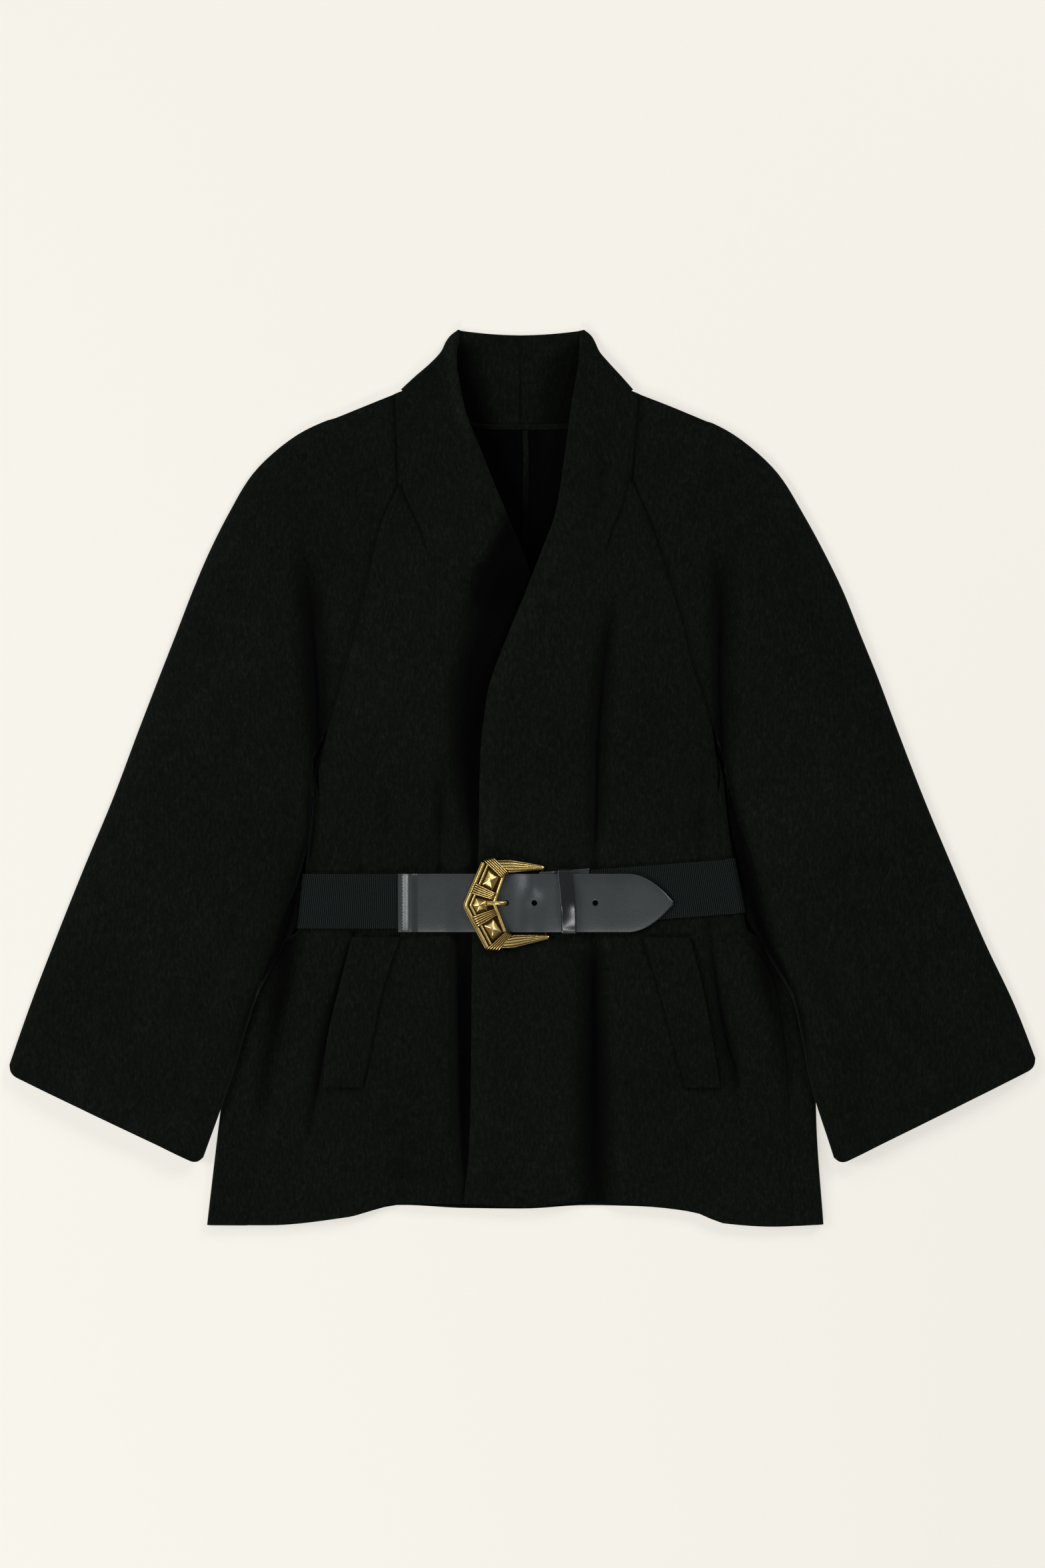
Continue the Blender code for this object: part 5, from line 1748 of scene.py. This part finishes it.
shading = {
    "spared": 2.0,                   # the first millimetres of a fold get no painted shade
    "foldReach": {"front": 7.0, "sleeve": 11.0},
    "foldPower": 1.5,
    "rim": 0.5,                      # painted highlight on the rolled neck edge
    "rimY": (285, 312),
    "rimZ": (4, 6),
    "rimAway": (5, 4),
    # painted highlight beside the covering front's edge
    "edge": 0.22,
    "edgeY": (150, 210),
    "edgeAway": (7, 8),
    "veil": 0.9,                     # painted shadow of the lap on the covered front
    "veilLine": ((150, 154, 180, 198, 227, 240), (-46, -45, -40, -26, -14.5, -8)),
    "veilX": (9, 7),
    "veilY": ((125, 160), (238, 248)),
    "veilZ": (3, 5),
    # painted shade along the raglan and neck seams
    "seam": 0.6,
    "seamHalf": 1.3,
    # painted shade in the darts
    "dart": 0.55,
    "dartHalf": 1.3,
    "dartBelow": 2,                  # narrower folds are darts
    # painted shade along the sleeve's inner edge, where it lies on the body
    "sleeveEdge": 0.85,
    "sleeveEdgeHalf": 3.5,
    "sleeveEdgeRows": (8.5, 13),
    "sleeveEdgeEnd": (12.2, 13),
}
# painted shade inside the neck, on the layer that lies on the ground and on the back of the collar
neckShade = {
    "layer": ((1.2, 1.6), (3.6, 5.2)),   # heights of the cloth that lies on the ground in the neck
    "width": (62, 70),
    "backY": (110, 150),
    "back": 0.94,
    "backLit": 0.12,
    "backLitX": (8, 30),
    "collarY": (backNeckY - 1, backNeckY + 1),
    # painted light on the back of the collar between two slanting painted shadows
    "left": ((306, 377), (-19.5, -39.8)),
    "leftDark": 0.75,
    "leftSoft": (16, 8),
    "right": ((306, 357, 377), (4, 16, 36)),
    "rightDark": 0.5,
    "rightSoft": (6, 18),
    "topY": (368, 383),
    "least": 0.1,
    # painted shade along the collar's centre-back seam
    "seam": 0.7,
    "seamHalf": 0.9,
}


def nearLine(x, y, places, halves, strengths):
    # how much painted shade a run of points puts on every place, strongest on it
    dark = np.zeros(len(x))
    halves, strengths = (np.broadcast_to(values, len(places)) for values in (halves, strengths))
    for (px, py), half, strength in zip(places, halves, strengths):
        dark = np.maximum(dark, strength * np.exp(-((x - px) ** 2 + (y - py) ** 2) / half ** 2))
    return dark


def valleyPoints(side):
    rows = np.array(valleys[side], float)
    steps = np.linspace(0, len(rows) - 1, 190)
    x, y, half, strength = (np.interp(steps, np.arange(len(rows)), column) for column in rows.T)
    return list(zip(x, y)), half, strength


def seamPoints(side):
    rows = np.linspace(0, underarmRow, 220)
    places = list(zip(sleeveAt(side, "inX", rows), sleeveAt(side, "inY", rows)))
    first, last = places[0], (sleeveAt(side, "outX", 0), sleeveAt(side, "outY", 0))
    return places + [(last[0] * t + first[0] * (1 - t), last[1] * t + first[1] * (1 - t))
                     for t in np.linspace(0, 1, 60)]


def pointsOf(piece):
    places = np.empty(len(piece.data.vertices) * 3)
    piece.data.vertices.foreach_get("co", places)
    return places.reshape(-1, 3).T * 1000


def setShade(piece, values):
    attribute = piece.data.attributes.new("shade", "FLOAT", "POINT")
    attribute.data.foreach_set("value", values)


def neckLight(x, y, z):
    # painted shade: the layer below the tape is darkened, less so to the right, and the collar back has painted
    # shadows at both sides
    collared = ramp(y, *neckShade["collarY"])
    low = within(z, *neckShade["layer"]) * (1 - ramp(np.abs(x), *neckShade["width"]))
    back = within(y, neckShade["backY"], neckShade["collarY"])
    back = back * (neckShade["back"] - neckShade["backLit"] * ramp(x, *neckShade["backLitX"]))
    left, right = (np.interp(y, *neckShade[name]) for name in ("left", "right"))
    inner, outer = neckShade["leftSoft"]
    sides = neckShade["leftDark"] * (1 - ramp(x, left - inner, left + outer))
    inner, outer = neckShade["rightSoft"]
    sides = sides + neckShade["rightDark"] * ramp(x, right - inner, right + outer)
    sides = np.clip(sides * (1 - ramp(y, *neckShade["topY"])) + neckShade["least"], 0, 1)
    sides = np.maximum(sides, neckShade["seam"] * bell(x - cloth["centreX"], neckShade["seamHalf"]))
    return 1 - low * (back + collared * sides)


def edgeLight(node, x, y, z):
    # painted highlight on the rolled left neck edge and beside the right front's edge; painted shadow of the
    # lap on the covered front
    if node == "front_left":
        away = np.abs(x - at(edges, "left", y))
        rim = ramp(y, *shading["rimY"]) * ramp(z, *shading["rimZ"])
        rim = rim * bell(away - shading["rimAway"][0], shading["rimAway"][1])
        veiled = np.interp(y, *shading["veilLine"])
        veil = ramp(x, veiled - shading["veilX"][0], veiled + shading["veilX"][1])
        veil = veil * within(y, *shading["veilY"]) * ramp(z, *shading["veilZ"])
        return (1 + shading["rim"] * rim) * (1 - shading["veil"] * veil)
    away = np.abs(x - at(edges, "right", y))
    lit = (1 - ramp(y, *shading["edgeY"])) * bell(away - shading["edgeAway"][0], shading["edgeAway"][1])
    return 1 + shading["edge"] * lit


def foldLight(node, panel, x, y):
    # painted shade: deeper folds are coloured darker, and the darts get a dark line
    depth = foldDepth(panel, x, y) + np.zeros(len(x))
    if node == "front_left":
        depth = depth + underDrop(x, y)
    depth = np.clip(depth - shading["spared"], 0, None)
    reach = shading["foldReach"]["front" if node.startswith("front") else "sleeve"]
    light = np.exp(-(depth / reach) ** shading["foldPower"])
    for line in folds.get(panel, ()):
        if max(line["width"]) < shading["dartBelow"]:
            inside = (y >= line["y"][0]) & (y <= line["y"][-1])
            dart = np.clip(at(line, "depth", y), 0, 1) * bell(x - at(line, "x", y), shading["dartHalf"])
            light = light * (1 - inside * shading["dart"] * dart)
    return light


def shadeCloth(node, piece):
    # "shade": painted shade, how little light reaches each point of the cloth, 0 in the open; below 0 where a
    # painted highlight lightens it
    x, y, z = pointsOf(piece)
    first, *others = node.split("_")
    side = others[-1]
    light = foldLight(node, first + "".join(cap(word) for word in others), x, y)
    if first in ("front", "back"):
        light = light * neckLight(x, y, z)
    if first == "front":
        light = light * edgeLight(node, x, y, z)
    if first in ("front", "sleeve"):
        light = light * (1 - nearLine(x, y, seamPoints(side), shading["seamHalf"], shading["seam"]))
    light = light * (1 - nearLine(x, y, *valleyPoints(side)))
    if first != "front":
        rows = np.linspace(*shading["sleeveEdgeRows"], 160)
        points = list(zip(sleeveAt(side, "inX", rows), sleeveAt(side, "inY", rows)))
        strengths = shading["sleeveEdge"] * (1 - ramp(rows, *shading["sleeveEdgeEnd"]))
        light = light * (1 - nearLine(x, y, points, shading["sleeveEdgeHalf"], strengths))
    return 1 - light


# painted shade on the trim, the tape darker to the left and the binding darker downwards: darkest, how much
# lighter, over which run
trimShade = {"tape": (0.7, 0.45, (-40, -10)), "binding": (0.9, 0.75, (222, 290))}


def shadeTrim(values, kind):
    dark, lighter, run = trimShade[kind]
    return dark - lighter * ramp(values, *run)


for node, piece in panels.items():
    if node.startswith(("front", "back", "sleeve")):
        setShade(piece, shadeCloth(node, piece))
setShade(panels["neck_tape"], shadeTrim(pointsOf(panels["neck_tape"])[0], "tape"))
setShade(centreBinding, shadeTrim(pointsOf(centreBinding)[1], "binding"))


def dress(piece, finish):
    piece.data.materials.clear()
    piece.data.materials.append(finishes[finish])


# each sheet's flat cut in metres: width, length, area
cuts = {
    "front_left": (0.36, 0.79, 0.155),
    "front_right": (0.37, 0.79, 0.155),
    "back_left": (0.33, 0.71, 0.138),
    "back_right": (0.33, 0.71, 0.138),
    "sleeve_front_left": (0.27, 0.66, 0.106),
    "sleeve_front_right": (0.27, 0.66, 0.106),
    "sleeve_back_left": (0.25, 0.66, 0.104),
    "sleeve_back_right": (0.25, 0.66, 0.104),
    "pocket_welt_left": (0.042, 0.14, 0.0050),
    "pocket_welt_right": (0.042, 0.14, 0.0050),
    "neck_tape": (0.01, 0.105, 0.0007),
}
for node, piece in panels.items():
    dress(piece, "wool")
    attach(piece, "root")
    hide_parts(node)
    width, length, area = cuts[node]
    half = sum(face.area for face in piece.data.polygons) / 2
    print("sheet", node, "half surface", round(half, 4), "stated", area)
beltPieces = {
    "belt_elastic": (elastic, "elastic"),
    "belt_strap": (strap, "leather"),
    "belt_chape": (chape, "leather"),
    "belt_keeper": (keeperLoop, "keeper"),
    "belt_buckle": (buckleCast, "gold"),
}
for node, (piece, finish) in beltPieces.items():
    dress(piece, finish)
    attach(piece, "root")
    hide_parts(node)
    "leather" if finish == "keeper" else finish
for piece in stitches:
    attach(piece, "root")
dress(centreBinding, "wool")
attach(centreBinding, "root")

# pale floor, soft light and the camera straight above
studio = {
    "floor": (0.913, 0.888, 0.823),
    "floorBase": 0.3,
    "floorGlow": 0.69,
    "floorHalf": 40.0,
    "floorZ": -0.0004,
    "room": (0.03, 0.16),      # dim on the cloth, but bright in what leather and metal mirror
    "roomColour": (1.0, 0.985, 0.96, 1),
    "cameraHeight": 6.0,
    "viewHeight": 1.3524,
    "viewCentreY": -0.0049,
    "sensor": 36.0,
}
lamps = {
    # place, size, power
    "upperRight": ((1.7, 1.7, 2.0), 1.1, 45.0),
    "left": ((-1.9, 0.1, 1.7), 0.9, 30.0),
    "front": ((-0.45, -2.1, 1.7), 0.9, 32.0),
    "back": ((-0.7, 2.2, 2.0), 1.0, 14.0),
    "overFront": ((0.2, -0.85, 3.0), 0.3, 6.0),
}


def makeFloor():
    size = studio["floorHalf"]
    mesh = bpy.data.meshes.new("floor")
    corners = [(-size, -size, 0), (size, -size, 0), (size, size, 0), (-size, size, 0)]
    mesh.from_pydata(corners, [], [(0, 1, 2, 3)])
    piece = linked("floor", mesh)
    piece.location.z = studio["floorZ"]
    made, tree, shader = finishOf("pale floor")
    setInputs(shader, {"Base Color": (*(studio["floorBase"] * c for c in studio["floor"]), 1),
                       "Roughness": 1.0, "Specular IOR Level": 0.0,
                       "Emission Color": (*studio["floor"], 1), "Emission Strength": studio["floorGlow"]})
    piece.data.materials.append(made)


def makeLamps():
    for name, (place, size, power) in lamps.items():
        data = bpy.data.lights.new(name, "AREA")
        data.size = size
        data.energy = power
        lamp = linked(name, data)
        lamp.location = place
        lamp.rotation_euler = (-Vector(place)).to_track_quat("-Z", "Y").to_euler()


def makeRoom():
    world = bpy.data.worlds.new("studio")
    world.use_nodes = True
    tree = world.node_tree
    backdrop = tree.nodes["Background"]
    setInputs(backdrop, {"Color": studio["roomColour"]})
    mirrored = tree.nodes.new("ShaderNodeLightPath").outputs["Is Glossy Ray"]
    rangeTo(tree, mirrored, *studio["room"], backdrop.inputs["Strength"])
    bpy.context.scene.world = world


def makeCamera():
    data = bpy.data.cameras.new("overhead")
    data.sensor_width = studio["sensor"]
    data.lens = studio["sensor"] * studio["cameraHeight"] / studio["viewHeight"]
    camera = linked("overhead", data)
    camera.location = (0, studio["viewCentreY"], studio["cameraHeight"])
    bpy.context.scene.camera = camera


makeFloor()
makeLamps()
makeRoom()
makeCamera()
bpy.context.scene.view_settings.view_transform = "Standard"
